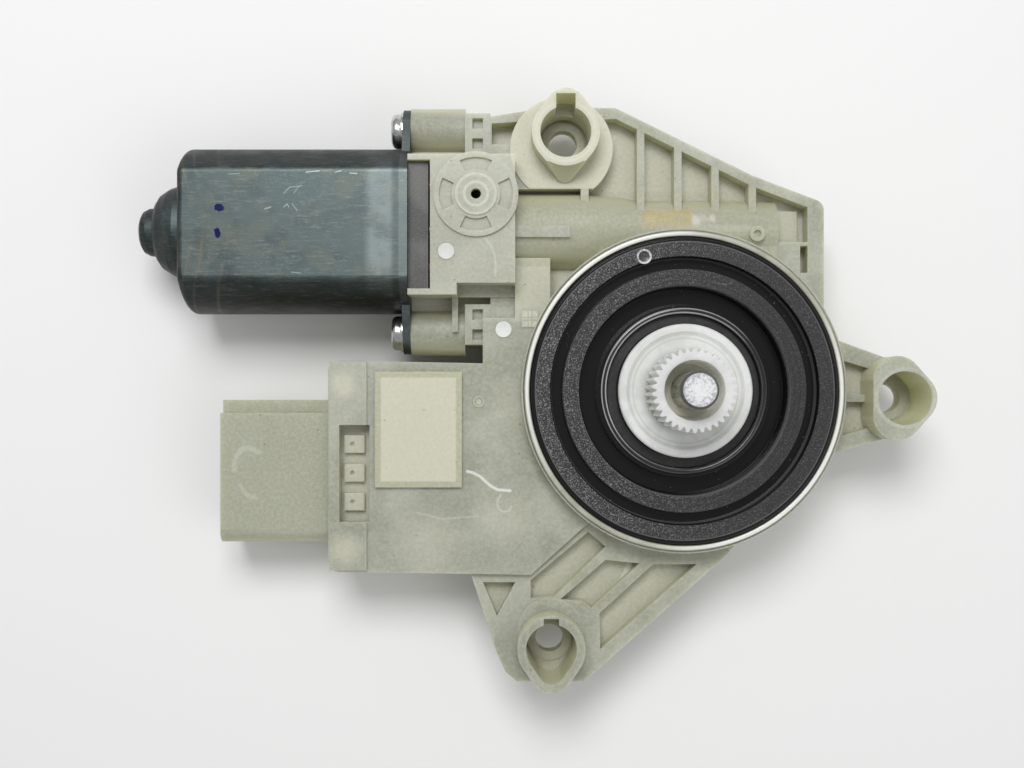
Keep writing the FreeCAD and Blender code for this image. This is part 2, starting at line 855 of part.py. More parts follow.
def worm_tunnel(body):
    """Wide at the motor's end, then tapered to a slimmer tube round the worm."""
    wide = Drawing(body, "YZ", "block_right - 4")
    wide.circle("axis_offset", "motor_axis_height", "tunnel_radius")
    pad(wide, "taper_start - block_right + 4")
    ends = (("taper_start", "tunnel_radius"), ("taper_end", "tunnel_slim_radius"))
    sections = [
        Drawing(body, "YZ", x).circle("axis_offset", "motor_axis_height", radius).sketch
        for x, radius in ends
    ]
    taper = body.newObject("PartDesign::AdditiveLoft", "taper")
    taper.Profile = sections[0]
    taper.Sections = sections[1:]
    slim = Drawing(body, "YZ", "taper_end")
    slim.circle("axis_offset", "motor_axis_height", "tunnel_slim_radius")
    pad(slim, "tunnel_end_x - taper_end")
    # Low block behind the thrust plug.
    behind = Drawing(body, lift="wing_bottom")
    behind.rectangle(
        "tunnel_end_x - 1", "axis_offset - 7", "wing_end_x - end_wall - 1.7", "axis_offset + 4.5"
    )
    pad(behind, "end_block_top - wing_bottom")
    # A nub between the platform and the tunnel, a bar along the top and a small ring.
    nub = Drawing(body, lift="wing_bottom")
    nub.rectangle("nub_x - nub_width / 2", "nub_low_y", "nub_x + nub_width / 2", "nub_low_y + 4")
    pad(nub, "platform_height - wing_bottom")
    bar = Drawing(body, lift="motor_axis_height")
    bar.rectangle("block_right - 1", "axis_offset - 2.3", "bar_end_x", "axis_offset + 0.2")
    pad(bar, "tunnel_radius + bar_height")
    ring = Drawing(body, lift="motor_axis_height")
    ring.circle("mark_x", "axis_offset - mark_drop", "mark_radius")
    pad(ring, "tunnel_slim_radius + bar_height")
    dimple = Drawing(body, lift="motor_axis_height + tunnel_slim_radius + bar_height")
    dimple.circle("mark_x", "axis_offset - mark_drop", "mark_radius / 2")
    pocket(dimple, "bar_height")


def motor_block(body):
    """A low base, a high middle and a round boss for each screw."""
    base = Drawing(body, lift="base_bottom")
    base.rectangle(
        "block_left", "axis_offset - base_half_width", "block_right", "axis_offset + base_half_width"
    )
    pad(base, "base_top - base_bottom")
    middle = Drawing(body, lift="block_bottom")
    middle.rectangle("block_left", "block_low_y", "block_right", "block_high_y")
    pad(middle, "block_top - block_bottom")
    ledge = Drawing(body, lift="block_top")
    ledge.rectangle(
        "ledge_left", "block_low_y - 1", "block_right + 1", "block_low_y + ledge_width"
    )
    pocket(ledge, "block_top - ledge_height")
    rib = Drawing(body, lift="base_bottom")
    rib.rectangle("ledge_left - 1.3", "screw_low_y", "ledge_left", "block_low_y + 1")
    pad(rib, "ledge_height - base_bottom")
    screws = Drawing(body, "YZ", "block_left")
    screws.circle("screw_low_y", "motor_axis_height", "screw_boss_radius")
    screws.circle("screw_high_y", "motor_axis_height", "screw_boss_radius")
    pad(screws, "screw_boss_length")
    rivets = Drawing(body, lift="base_bottom")
    for y in ("rivet_low_y", "rivet_high_y"):
        rivets.rectangle(
            "block_left + screw_boss_length",
            f"{y} - rivet_block_width / 2",
            "block_left + screw_boss_length + rivet_block_length",
            f"{y} + rivet_block_width / 2",
        )
    pad(rivets, "rivet_block_top - base_bottom")
    # Round pad with four shallow pockets and a raised centre.
    raised = Drawing(body, lift="block_top - 1")
    raised.circle("pad_x", "pad_y", "pad_radius")
    pad(raised, "pad_height + 1")
    centre = Drawing(body, lift="block_top + pad_height")
    centre.circle("pad_x", "pad_y", "pad_inner_radius")
    pad(centre, "pad_height / 2")


def electronics_box(body):
    """Control box with the step that reaches round to the motor."""
    box = Drawing(body, lift="box_bottom")
    box.polygon(
        ("box_left", "box_low_y"),
        ("box_left", "box_top_y"),
        ("step_left", "box_top_y - box_taper"),
        ("step_left", "step_inner_y"),
        ("block_right", "step_inner_y"),
        ("block_right", "step_outer_y"),
        ("step_right", "step_outer_y"),
        ("step_right", "step_inner_y"),
        ("-10", "step_inner_y"),
        ("-10", "-20"),
        ("-34", "box_low_y - box_taper"),
    )
    pad(box, "box_height - box_bottom")
    soften(
        body,
        "corner_round",
        lambda e: spans(e, "Z") and near(e.BoundBox.XMin, "box_left") and e.BoundBox.ZMax < 23,
    )
    band = Drawing(body, lift="box_height")
    band.rectangle("box_left + 0.4", "box_low_y + 0.4", "band_right", "box_top_y - 0.4")
    pad(band, "band_height")
    panel = Drawing(body, lift="box_height")
    panel.rectangle(
        "panel_left", "panel_top_y - panel_length", "panel_left + panel_width", "panel_top_y"
    )
    pad(panel, "panel_height")


def bosses(body):
    """Three screw bosses: two egg-shaped ones that point up and down, and a rounder one
    at the end of the right arm."""
    keel = Drawing(body, lift="wing_bottom")
    keel.drop(
        "boss_top_x", "boss_top_y", "boss_radius",
        "boss_top_x", "boss_top_y - keel_reach", "keel_radius",
    )
    pad(keel, "boss_height - wing_bottom")
    slope = Drawing(body, "YZ", "boss_top_x + boss_radius")
    slope.polygon(
        ("boss_top_y - boss_radius + 1", "boss_height"),
        ("boss_top_y - keel_reach - keel_radius", "platform_height + 0.5"),
        ("boss_top_y - keel_reach - keel_radius - 1", "platform_height + 0.5"),
        ("boss_top_y - keel_reach - keel_radius - 1", "boss_height + 1"),
        ("boss_top_y - boss_radius + 1", "boss_height + 1"),
    )
    pocket(slope, "2 * boss_radius")
    low_platform = Drawing(body, lift="wing_bottom")
    low_platform.circle("boss_low_x", "boss_low_y + low_platform_shift", "low_platform_radius")
    pad(low_platform, "platform_height - wing_bottom")

    eggs = Drawing(body, lift="wing_bottom")
    for x, y, side in (("boss_top_x", "boss_top_y", 1), ("boss_low_x", "boss_low_y", -1)):
        tip = f"{y} + {side} * boss_tip_reach"
        eggs.drop(x, y, "boss_radius", x, tip, "boss_tip_radius")
    pad(eggs, "boss_height - wing_bottom")
    upper = ("boss_right_x - lobe_back", "boss_right_y + lobe_spread", "lobe_radius")
    lower = ("boss_right_x - lobe_back", "boss_right_y - lobe_spread", "lobe_radius")
    nose = ("boss_right_x + nose_reach", "boss_right_y", "nose_radius")
    for one, two in ((upper, lower), (nose, upper), (nose, lower)):
        pad(Drawing(body, lift="wing_bottom").drop(*one, *two), "boss_height - wing_bottom")

    # Recesses inside the bosses, then a seat ring and the screw hole.
    recesses = Drawing(body, lift="boss_height")
    recesses.circle("boss_top_x", "boss_top_y", "recess_radius")
    recesses.circle("boss_right_x", "boss_right_y", "recess_radius + 0.3")
    recesses.drop(
        "boss_low_x", "boss_low_y", "recess_radius",
        "boss_low_x", "boss_low_y - boss_tip_reach", "boss_tip_radius - boss_wall",
    )
    pocket(recesses, "boss_height - boss_seat_height")
    notches = Drawing(body, lift="boss_height")
    notches.rectangle(
        "boss_top_x - notch_width / 2", "boss_top_y", "boss_top_x + notch_width / 2",
        "boss_top_y + notch_reach",
    )
    notches.rectangle(
        "boss_low_x - notch_width / 2.5", "boss_low_y", "boss_low_x + notch_width / 2.5",
        "boss_low_y + recess_radius + 1.2",
    )
    pocket(notches, "boss_height - notch_floor")
    seats = Drawing(body, lift="boss_seat_height")
    holes = Drawing(body, lift="boss_height")
    for where in ("top", "right", "low"):
        seats.circle(f"boss_{where}_x", f"boss_{where}_y", "seat_ring_radius")
        holes.circle(f"boss_{where}_x", f"boss_{where}_y", "boss_hole_radius")
    pad(seats, "seat_ring_height")
    pocket(holes, "boss_height - wing_bottom")


def hollows(body):
    """Everything the housing holds inside."""
    # Gear room, open at the top, round a tower for the axle.
    room = Drawing(body, lift="drum_height")
    room.circle("0", "0", "gear_room_radius")
    pocket(room, "drum_height - drum_floor")
    seat = Drawing(body, lift="drum_height")
    seat.circle("0", "0", "cover_seat_radius")
    pocket(seat, "cover_seat_depth")
    pad(Drawing(body, lift="drum_floor").circle("0", "0", "tower_radius"), "tower_top - drum_floor")
    axle = Drawing(body, lift="tower_top")
    axle.circle("0", "0", "pin_radius")
    pocket(axle, "tower_top - pin_foot")

    # Tunnel bore, the room for the brush holder and the window over it.
    bore = Drawing(body, "YZ", "tunnel_end_x - tunnel_wall")
    bore.circle("axis_offset", "motor_axis_height", "tunnel_bore")
    pocket(bore, "tunnel_end_x - tunnel_wall - block_cavity_end + 1")
    depths = (
        ("block_cavity_half", "block_left + window_width"),
        ("block_cavity_inner_half", "block_cavity_end"),
    )
    for half_width, end in depths:
        room = Drawing(body, "YZ", "block_left")
        room.rectangle(
            f"axis_offset - {half_width}",
            "motor_axis_height - cavity_half_height",
            f"axis_offset + {half_width}",
            "motor_axis_height + cavity_half_height",
        )
        pocket(room, f"{end} - block_left", back=True)
    window = Drawing(body, lift="block_top")
    window.rectangle(
        "block_left",
        "axis_offset - block_cavity_half",
        "block_left + window_width",
        "axis_offset + block_cavity_half",
    )
    pocket(window, "block_skin + 1")
    threads = Drawing(body, "YZ", "block_left")
    threads.circle("screw_low_y", "motor_axis_height", "screw_hole_radius")
    threads.circle("screw_high_y", "motor_axis_height", "screw_hole_radius")
    pocket(threads, "screw_length + 1", back=True)
    sockets = Drawing(body, lift="rivet_block_top")
    middle = "block_left + screw_boss_length + rivet_block_length / 2"
    for y in ("rivet_low_y", "rivet_high_y"):
        for side in (-1, 1):
            row = f"{y} + {side} * rivet_block_width / 4"
            sockets.rectangle(
                f"{middle} - rivet_hole / 2",
                f"{row} - rivet_hole / 2",
                f"{middle} + rivet_hole / 2",
                f"{row} + rivet_hole / 2",
            )
    pocket(sockets, "rivet_hole_depth")

    # Pockets and hole of the round pad.
    notch = Drawing(body, lift="block_top + pad_height")
    for middle in (0, 90, 180, 270):
        notch.sector(
            "pad_pocket_inner", "pad_pocket_outer", middle, "pad_pocket_half_angle", "pad_x", "pad_y"
        )
    pocket(notch, "pad_height")
    vent = Drawing(body, lift="block_top + pad_height * 1.5")
    vent.circle("pad_x", "pad_y", "pad_hole_radius")
    pocket(vent, "pad_height * 1.5 + block_skin + 1")

    # Room for the board, the slot over the connector's pillars and the way to the brushes.
    board_room = Drawing(body, "YZ", "box_left")
    board_room.rectangle(
        "box_low_y + box_wall", "box_floor", "box_top_y - box_wall", "box_ceiling"
    )
    pocket(board_room, "box_cavity_end - box_left", back=True)
    slot = Drawing(body, lift="box_height + band_height")
    slot.rectangle(
        "slot_left", "slot_top_y - slot_length", "slot_left + slot_width", "slot_top_y"
    )
    pocket(slot, "box_wall + band_height + 1")
    channel = Drawing(body, lift="channel_bottom + channel_height")
    channel.polygon(
        ("box_cavity_end - 2", "channel_low_y"),
        ("channel_right", "channel_low_y"),
        ("channel_right", "channel_top_y"),
        ("block_cavity_end - 2", "channel_top_y"),
        ("block_cavity_end - 2", "channel_top_y - channel_width"),
        ("channel_right - channel_width", "channel_top_y - channel_width"),
        ("channel_right - channel_width", "channel_low_y + channel_width"),
        ("box_cavity_end - 2", "channel_low_y + channel_width"),
    )
    pocket(channel, "channel_height")


# Cover, seals and hub


def gear_cover():
    """Black lid of the drum: stepped rings round a sleeve that holds the lip seal."""
    body = new_body("gear_cover")
    profile = Drawing(body, "XZ")
    profile.polygon(
        ("cover_radius", "cover_seat"),
        ("cover_radius", "cover_top - seal_ring_thickness"),
        ("seal_ring_inner + 0.2", "cover_top - seal_ring_thickness"),
        ("seal_ring_inner", "cover_top - groove_depth"),
        ("groove_inner + 0.2", "cover_top - groove_depth"),
        ("groove_inner", "cover_top"),
        ("second_ring_inner", "cover_top"),
        ("second_ring_inner - 0.4", "valley_floor"),
        ("valley_inner + 0.2", "valley_floor"),
        ("valley_inner", "cover_top - sleeve_drop"),
        ("sleeve_inner", "cover_top - sleeve_drop"),
        ("sleeve_inner", "lip_seal_seat"),
        ("cover_opening", "lip_seal_seat"),
        ("cover_opening", "cover_underside"),
        ("second_ring_inner + cover_skin", "cover_underside"),
        ("second_ring_inner + cover_skin", "cover_top - groove_depth - cover_skin"),
        ("spigot_radius - cover_spigot_wall", "cover_top - groove_depth - cover_skin"),
        ("spigot_radius - cover_spigot_wall", "cover_underside"),
        ("spigot_radius", "cover_underside"),
        ("spigot_radius", "cover_seat"),
    )
    turned(profile)
    return body


def panel_seal():
    """Soft outer ring of the lid, which presses against the door's panel."""
    body = new_body("panel_seal")
    profile = Drawing(body, "XZ")
    profile.polygon(
        ("seal_ring_inner + 0.2", "cover_top - seal_ring_thickness"),
        ("cover_radius - 0.1", "cover_top - seal_ring_thickness"),
        ("cover_radius - 0.1", "cover_top - 0.4"),
        ("cover_radius - 0.5", "cover_top"),
        ("seal_ring_inner + 0.4", "cover_top"),
    )
    turned(profile)
    return body


def hub_lip_seal():
    body = new_body("hub_lip_seal")
    profile = Drawing(body, "XZ")
    inner = "hub_neck_radius + lip_seal_gap"
    profile.polygon(
        (inner, "lip_seal_seat + 0.9"),
        (f"{inner} + 0.9", "lip_seal_seat"),
        ("sleeve_inner", "lip_seal_seat"),
        ("sleeve_inner", "lip_seal_seat + lip_seal_height"),
        (f"{inner} + 1.3", "lip_seal_seat + lip_seal_height"),
        (inner, "lip_seal_seat + lip_seal_height - 0.9"),
    )
    turned(profile)
    return body


def axle_pin():
    body = new_body("axle_pin")
    profile = Drawing(body, "XZ")
    profile.polygon(
        ("0", "pin_foot"),
        ("pin_radius", "pin_foot"),
        ("pin_radius", "ring_bottom"),
        ("pin_radius - ring_groove_depth", "ring_bottom"),
        ("pin_radius - ring_groove_depth", "ring_top"),
        ("pin_radius", "ring_top"),
        ("pin_radius", "pin_top - pin_chamfer"),
        ("pin_radius - pin_chamfer", "pin_top"),
        ("0", "pin_top"),
    )
    turned(profile)
    return body


def retaining_ring():
    body = new_body("retaining_ring")
    ring = Drawing(body, lift="ring_bottom")
    ring.circle("0", "0", "ring_radius")
    ring.circle("0", "0", "pin_radius - ring_groove_depth")
    pad(ring, "ring_thickness")
    return body


def drive_hub():
    """White splined hub: a toothed drum over a dished disc, a neck through the seal,
    and claws that reach down into the damper."""
    body = new_body("hub_blank")
    profile = Drawing(body, "XZ")
    profile.polygon(
        ("hub_bore", "hub_plate_bottom"),
        ("hub_plate_radius", "hub_plate_bottom"),
        ("hub_plate_radius", "hub_plate_top"),
        ("hub_neck_radius", "hub_plate_top"),
        ("hub_neck_radius", "hub_disc_bottom"),
        ("hub_disc_radius", "hub_disc_bottom"),
        ("hub_disc_radius", "hub_disc_top - 0.4"),
        ("hub_disc_radius - 0.4", "hub_disc_top"),
        ("hub_disc_radius - hub_disc_rim", "hub_disc_top"),
        ("hub_disc_radius - hub_disc_rim - 0.3", "hub_disc_top - hub_disc_dish"),
        ("hub_root_radius - 0.4", "hub_disc_top - hub_disc_dish * 1.6"),
        ("hub_root_radius - 0.4", "hub_top"),
        ("hub_well_radius", "hub_top"),
        ("hub_well_radius", "hub_well_floor"),
        ("hub_bore", "hub_well_floor"),
    )
    turned(profile)
    claw = Drawing(body, lift="hub_plate_bottom")
    claw.rectangle(
        "damper_inner_radius + 1.4", "-vane_width / 2", "damper_outer_radius - 1.4", "vane_width / 2"
    )
    round_about(body, pad(claw, "damper_height - 1", back=True), "vane_count")

    # Thirty-odd pointed teeth outside the drum.
    teeth = int(num("hub_teeth"))
    spline = doc.addObject("Part::Feature", "hub_spline")
    foot = num("hub_disc_top - hub_disc_dish * 1.4")
    step = math.pi / teeth
    outer = toothed_corners(
        teeth, num("hub_root_radius"), num("hub_tip_radius"), step * 0.82, step * 0.3, foot
    )
    shaft = Part.makeCylinder(
        num("hub_root_radius - 0.8"), num("hub_top") - foot, FreeCAD.Vector(0, 0, foot)
    )
    blank = Part.Face(Part.makePolygon(outer + outer[:1]))
    spline.Shape = blank.extrude(FreeCAD.Vector(0, 0, num("hub_top") - foot)).cut(shaft)
    return fused("drive_hub", body, spline)


def rubber_damper():
    """Rubber ring between wheel and hub, with a slot for each vane and each claw."""
    body = new_body("rubber_damper")
    ring = Drawing(body, lift="damper_bottom")
    ring.circle("0", "0", "damper_outer_radius - damper_gap")
    ring.circle("0", "0", "damper_inner_radius")
    pad(ring, "damper_height")
    slot = Drawing(body, lift="damper_top")
    slot.rectangle(
        "damper_inner_radius + 1.2",
        "-vane_width / 2 - damper_gap",
        "damper_outer_radius - 1.2",
        "vane_width / 2 + damper_gap",
    )
    round_about(body, pocket(slot, "damper_height"), "2 * vane_count")
    return body


def worm_wheel():
    """Wheel with slanted teeth to suit the worm, a thin web, and vanes that grip the damper."""
    body = new_body("wheel_blank")
    rim = Drawing(body, lift="wheel_bottom")
    rim.circle("0", "0", "wheel_root_radius - 0.5")
    rim.circle("0", "0", "wheel_root_radius - wheel_rim")
    pad(rim, "wheel_width")
    web = Drawing(body, lift="wheel_bottom")
    web.circle("0", "0", "wheel_root_radius - wheel_rim + 0.5")
    web.circle("0", "0", "hub_bore")
    pad(web, "wheel_web")
    cup = Drawing(body, lift="wheel_bottom + wheel_web / 2")
    cup.circle("0", "0", "damper_outer_radius + 2")
    cup.circle("0", "0", "damper_outer_radius")
    pad(cup, "wheel_width - wheel_web / 2")
    hub = Drawing(body, lift="wheel_bottom + wheel_web / 2")
    hub.circle("0", "0", "wheel_hub_radius")
    hub.circle("0", "0", "hub_bore")
    pad(hub, "damper_top - wheel_bottom - wheel_web / 2")
    vane = Drawing(body, lift="wheel_bottom + wheel_web / 2")
    vane.rectangle(
        "-damper_outer_radius + 1.6", "-vane_width / 2", "-damper_inner_radius - 1.6", "vane_width / 2"
    )
    height = "damper_top - 0.6 - wheel_bottom - wheel_web / 2"
    round_about(body, pad(vane, height), "vane_count")

    # Teeth lean with the worm's thread. Each flank follows the involute at root, pitch and tip.
    teeth = int(num("wheel_teeth"))
    pitch_radius = num("wheel_pitch_radius")
    base_radius = pitch_radius * math.cos(math.radians(num("pressure_angle")))

    def involute(radius):
        angle = math.acos(base_radius / radius)
        return math.tan(angle) - angle

    def half_angle(radius):
        return math.pi / (2 * teeth) + involute(pitch_radius) - involute(radius)

    root, tip = num("wheel_root_radius"), num("wheel_tip_radius")
    lean = num("worm_pitch") / (2 * math.pi * num("worm_pitch_radius"))
    turn = lean * num("wheel_width") / 2 / pitch_radius
    low, high = (
        toothed_corners(
            teeth, root, tip, half_angle(root), half_angle(tip), height, side * turn,
            (half_angle(pitch_radius), pitch_radius),
        )
        for side, height in ((-1, num("wheel_bottom")), (1, num("wheel_top")))
    )
    # Each leaning strip between the two outlines is two flat triangles.
    faces = [Part.Face(Part.makePolygon(ring + ring[:1])) for ring in (low, high)]
    for index, corner in enumerate(low):
        after = (index + 1) % len(low)
        for triangle in ((corner, low[after], high[after]), (corner, high[after], high[index])):
            faces.append(Part.Face(Part.makePolygon([*triangle, triangle[0]])))
    ring = doc.addObject("Part::Feature", "wheel_teeth_ring")
    hole = Part.makeCylinder(
        root - 1, num("wheel_width"), FreeCAD.Vector(0, 0, num("wheel_bottom"))
    )
    shell = Part.makeShell(faces)
    shell.sewShape()
    ring.Shape = Part.makeSolid(shell).cut(hole)
    return fused("worm_wheel", body, ring)


# Motor


def motor_can():
    """Drawn steel can: flat above and below, round at the sides, with a stepped end
    for the rear bearing and a flange whose two ears take the screws."""
    body = on_motor_axis(new_body("motor_can"))
    shell = Drawing(body, "YZ", "can_rear")
    shell.flatted("can_radius", "can_half_flat")
    pad(shell, "can_front - can_rear")
    soften(
        body,
        "can_corner_round",
        lambda e: spans(e, "X") and e.Length > 20,
    )
    soften(
        body,
        "can_edge_round",
        lambda e: near(e.BoundBox.XMin, "can_rear") and near(e.BoundBox.XMax, "can_rear"),
    )
    flange = Drawing(body, "YZ", "flange_rear")
    flange.drop("0", "0", "flange_half_height", "screw_offset", "0", "ear_radius")
    pad(flange, "flange_thickness")
    flange = Drawing(body, "YZ", "flange_rear")
    flange.drop("0", "0", "flange_half_height", "-screw_offset", "0", "ear_radius")
    pad(flange, "flange_thickness")
    ends = Drawing(body, "XZ")
    ends.polygon(
        ("cap_rear", "0"),
        ("cap_rear", "cap_radius - 1.8"),
        ("cap_rear + 0.6", "cap_radius - 0.8"),
        ("cap_rear + 1.8", "cap_radius - 0.2"),
        ("cup_rear", "cap_radius"),
        ("cup_rear", "cup_small_radius"),
        ("cup_rear + 1", "cup_small_radius + 1.4"),
        ("cup_rear + 3.2", "cup_radius - 0.7"),
        ("cup_rear + 5.4", "cup_radius"),
        ("can_rear + 1", "cup_radius"),
        ("can_rear + 1", "0"),
    )
    turned(ends, "H_Axis")
    # The hollow: wide for the magnets, then stepped for the bearing.
    inside = Drawing(body, "YZ", "can_front")
    inside.flatted("can_inner_radius", "can_inner_flat")
    pocket(inside, "can_front - can_rear - can_wall")
    steps = Drawing(body, "XZ")
    steps.polygon(
        ("cap_rear + cap_wall", "0"),
        ("cap_rear + cap_wall", "bearing_radius"),
        ("cup_rear + can_wall", "bearing_radius"),
        ("cup_rear + can_wall + 2", "cup_radius - 0.7 - can_wall"),
        ("can_rear + can_wall + 0.5", "cup_radius - 0.7 - can_wall"),
        ("can_rear + can_wall + 0.5", "0"),
    )
    turned(steps, "H_Axis", cut=True)
    holes = Drawing(body, "YZ", "can_front")
    holes.circle("screw_offset", "0", "screw_radius + 0.3")
    holes.circle("-screw_offset", "0", "screw_radius + 0.3")
    pocket(holes, "flange_thickness")
    return body


def field_magnets():
    """Two curved magnets against the can's round sides."""
    body = on_motor_axis(new_body("field_magnets"))
    body.AllowCompound = True
    for middle in (0, 180):
        arc = Drawing(body, "YZ", "magnet_rear")
        arc.sector("magnet_inner", "can_inner_radius - magnet_gap", middle, "magnet_half_angle")
        pad(arc, "magnet_front - magnet_rear")
    return body


def armature_shaft():
    """Motor shaft with the worm cut on its front end."""
    body = on_motor_axis(new_body("armature_shaft"))
    profile = Drawing(body, "XZ")
    profile.polygon(
        ("shaft_rear", "0"),
        ("shaft_rear", "shaft_rear_radius"),
        ("shaft_step", "shaft_rear_radius"),
        ("shaft_step", "shaft_radius"),
        ("worm_start - worm_root_run - 0.6", "shaft_radius"),
        ("worm_start - worm_root_run", "worm_root_radius"),
        ("-worm_start + worm_root_run", "worm_root_radius"),
        ("-worm_start + worm_root_run + 0.6", "shaft_radius"),
        ("shaft_front - 1", "shaft_radius"),
        ("shaft_front", "shaft_radius - 1"),
        ("shaft_front", "0"),
    )
    turned(profile, "H_Axis")
    # One thread flank each side of the start point; half a turn puts it in the wheel's gap.
    tooth = Drawing(body, "XZ")
    slope = "tan(pressure_angle * 1deg)"
    half = "(worm_pitch / 2 - tooth_backlash) / 2"
    root = "(worm_root_radius - 0.1)"
    rise = f"(worm_pitch_radius - {root}) * {slope}"
    fall = f"tooth_addendum * {slope}"
    tooth.polygon(
        (f"worm_start - {half} - {rise}", root),
        (f"worm_start + {half} + {rise}", root),
        (f"worm_start + {half} - {fall}", "worm_tip_radius"),
        (f"worm_start - {half} + {fall}", "worm_tip_radius"),
    )
    thread = body.newObject("PartDesign::AdditiveHelix", "thread")
    thread.Profile = tooth.sketch
    thread.ReferenceAxis = (tooth.sketch, ["H_Axis"])
    thread.Mode = 0
    thread.setExpression("Pitch", expr("worm_pitch"))
    thread.setExpression("Height", expr("worm_length"))
    thread.Refine = False
    return body


def armature_core():
    """Stack of steel sheets with a slot for each winding."""
    body = on_motor_axis(new_body("armature_core"))
    disc = Drawing(body, "YZ", "core_rear")
    disc.circle("0", "0", "core_radius")
    disc.circle("0", "0", "shaft_radius")
    pad(disc, "core_front - core_rear")
    slot = Drawing(body, "YZ", "core_front")
    slot.rectangle(
        "core_radius - core_slot_depth", "-core_slot_width / 2", "core_radius + 1", "core_slot_width / 2"
    )
    round_about(body, pocket(slot, "core_front - core_rear"), "core_slots", "X_Axis")
    return body


def winding_end(label, start):
    """The coils' heads where they pass round one end of the core."""
    body = on_motor_axis(new_body(label))
    ring = Drawing(body, "XZ")
    stop = f"{start} + winding_length"
    ring.polygon(
        (start, "winding_inner"),
        (start, "winding_radius - 1.5"),
        (f"{start} + 1.2", "winding_radius"),
        (f"{stop} - 1.2", "winding_radius"),
        (stop, "winding_radius - 1.5"),
        (stop, "winding_inner"),
    )
    turned(ring, "H_Axis")
    return body


def commutator():
    body = on_motor_axis(new_body("commutator"))
    drum = Drawing(body, "YZ", "commutator_rear")
    drum.circle("0", "0", "commutator_radius")
    drum.circle("0", "0", "shaft_radius")
    pad(drum, "commutator_front - commutator_rear")
    slot = Drawing(body, "YZ", "commutator_front")
    slot.rectangle(
        "commutator_radius - bar_slot_depth", "-bar_slot / 2", "commutator_radius + 1", "bar_slot / 2"
    )
    cut = pocket(slot, "commutator_front - commutator_rear - 1.5")
    round_about(body, cut, "bar_count", "X_Axis")
    return body


def sleeve(label, rear, front, outer, inner):
    """A plain ring on the motor's axis, such as a bush."""
    body = on_motor_axis(new_body(label))
    ring = Drawing(body, "YZ", rear)
    ring.circle("0", "0", outer)
    ring.circle("0", "0", inner)
    pad(ring, f"{front} - ({rear})")
    return body


def thrust_plug():
    """Hard disc at the blind end of the tunnel, which takes the worm's push."""
    body = on_motor_axis(new_body("thrust_plug"))
    disc = Drawing(body, "YZ", "tunnel_end_x - tunnel_wall - plug_thickness")
    disc.circle("0", "0", "tunnel_bore")
    pad(disc, "plug_thickness")
    return body


def brush_holder():
    """Black carrier that closes the can: a block seen through the housing's window,
    a plate that fills the can's mouth, and a box for each brush."""
    body = on_motor_axis(new_body("brush_holder"))
    block = Drawing(body, "YZ", "can_front")
    block.rectangle(
        "-block_cavity_half + holder_fit",
        "-cavity_half_height + holder_fit",
        "block_cavity_half - holder_fit",
        "cavity_half_height - holder_fit",
    )
    pad(block, "holder_front - can_front")
    plate = Drawing(body, "YZ", "can_front - holder_plate")
    plate.flatted("can_inner_radius - holder_section_gap", "can_inner_flat - holder_section_gap")
    pad(plate, "holder_plate")
    boxes = Drawing(body, "YZ", "can_front - holder_plate - brush_box_length")
    for side in (-1, 1):
        boxes.rectangle(
            f"{side} * holder_bore",
            "-brush_height / 2 - brush_box_wall",
            f"{side} * brush_box_outer",
            "brush_height / 2 + brush_box_wall",
        )
    pad(boxes, "brush_box_length + 0.5")
    bore = Drawing(body, "YZ", "holder_front")
    bore.circle("0", "0", "holder_bore")
    pocket(bore, "holder_front - can_front + holder_plate + brush_box_length")
    slots = Drawing(body, "YZ", "can_front - holder_plate - brush_box_length")
    for side in (-1, 1):
        slots.rectangle(
            f"{side} * (holder_bore - 1)",
            "-brush_height / 2 - 0.05",
            f"{side} * (brush_box_outer + 1)",
            "brush_height / 2 + 0.05",
        )
    pocket(slots, "brush_box_length - brush_box_wall", back=True)
    return body


def carbon_brushes():
    """One brush each side of the commutator."""
    body = on_motor_axis(new_body("carbon_brushes"))
    body.AllowCompound = True
    for side in (-1, 1):
        block = Drawing(body, "YZ", "can_front - holder_plate - brush_box_length + 0.6")
        block.rectangle(
            f"{side} * (commutator_radius + brush_gap)",
            "-brush_height / 2",
            f"{side} * (commutator_radius + brush_gap + brush_depth)",
            "brush_height / 2",
        )
        pad(block, "brush_length")
    return body


def brush_springs():
    """Bent leaf behind each brush, footed on the holder's box."""
    body = on_motor_axis(new_body("brush_springs"))
    body.AllowCompound = True
    tail = "commutator_radius + brush_gap + brush_depth"
    rear = "can_front - holder_plate - brush_box_length + 0.6"
    for side in (-1, 1):
        leaf = Drawing(body, "XY", "-brush_height / 2")
        leaf.polygon(
            (f"{rear} + 0.3", f"{side} * ({tail})"),
            (f"{rear} + brush_length - 0.3", f"{side} * ({tail})"),
            (f"{rear} + brush_length + 0.8", f"{side} * (brush_box_outer - leaf_thickness)"),
            (f"{rear} + brush_length + 0.8", f"{side} * brush_box_outer"),
            (f"{rear} + brush_length + 0.3", f"{side} * brush_box_outer"),
            (f"{rear} + brush_length - 0.7", f"{side} * ({tail} + leaf_thickness)"),
            (f"{rear} + 0.3", f"{side} * ({tail} + leaf_thickness)"),
        )
        pad(leaf, "brush_height")
    return body


def choke_coils():
    """Two interference chokes on the inner face of the holder."""
    body = on_motor_axis(new_body("choke_coils"))
    body.AllowCompound = True
    for side in (-1, 1):
        coil = Drawing(body, "YZ", "holder_front")
        coil.circle(f"{side} * choke_offset", "choke_offset - 1", "choke_radius")
        pad(coil, "choke_length")
    return body


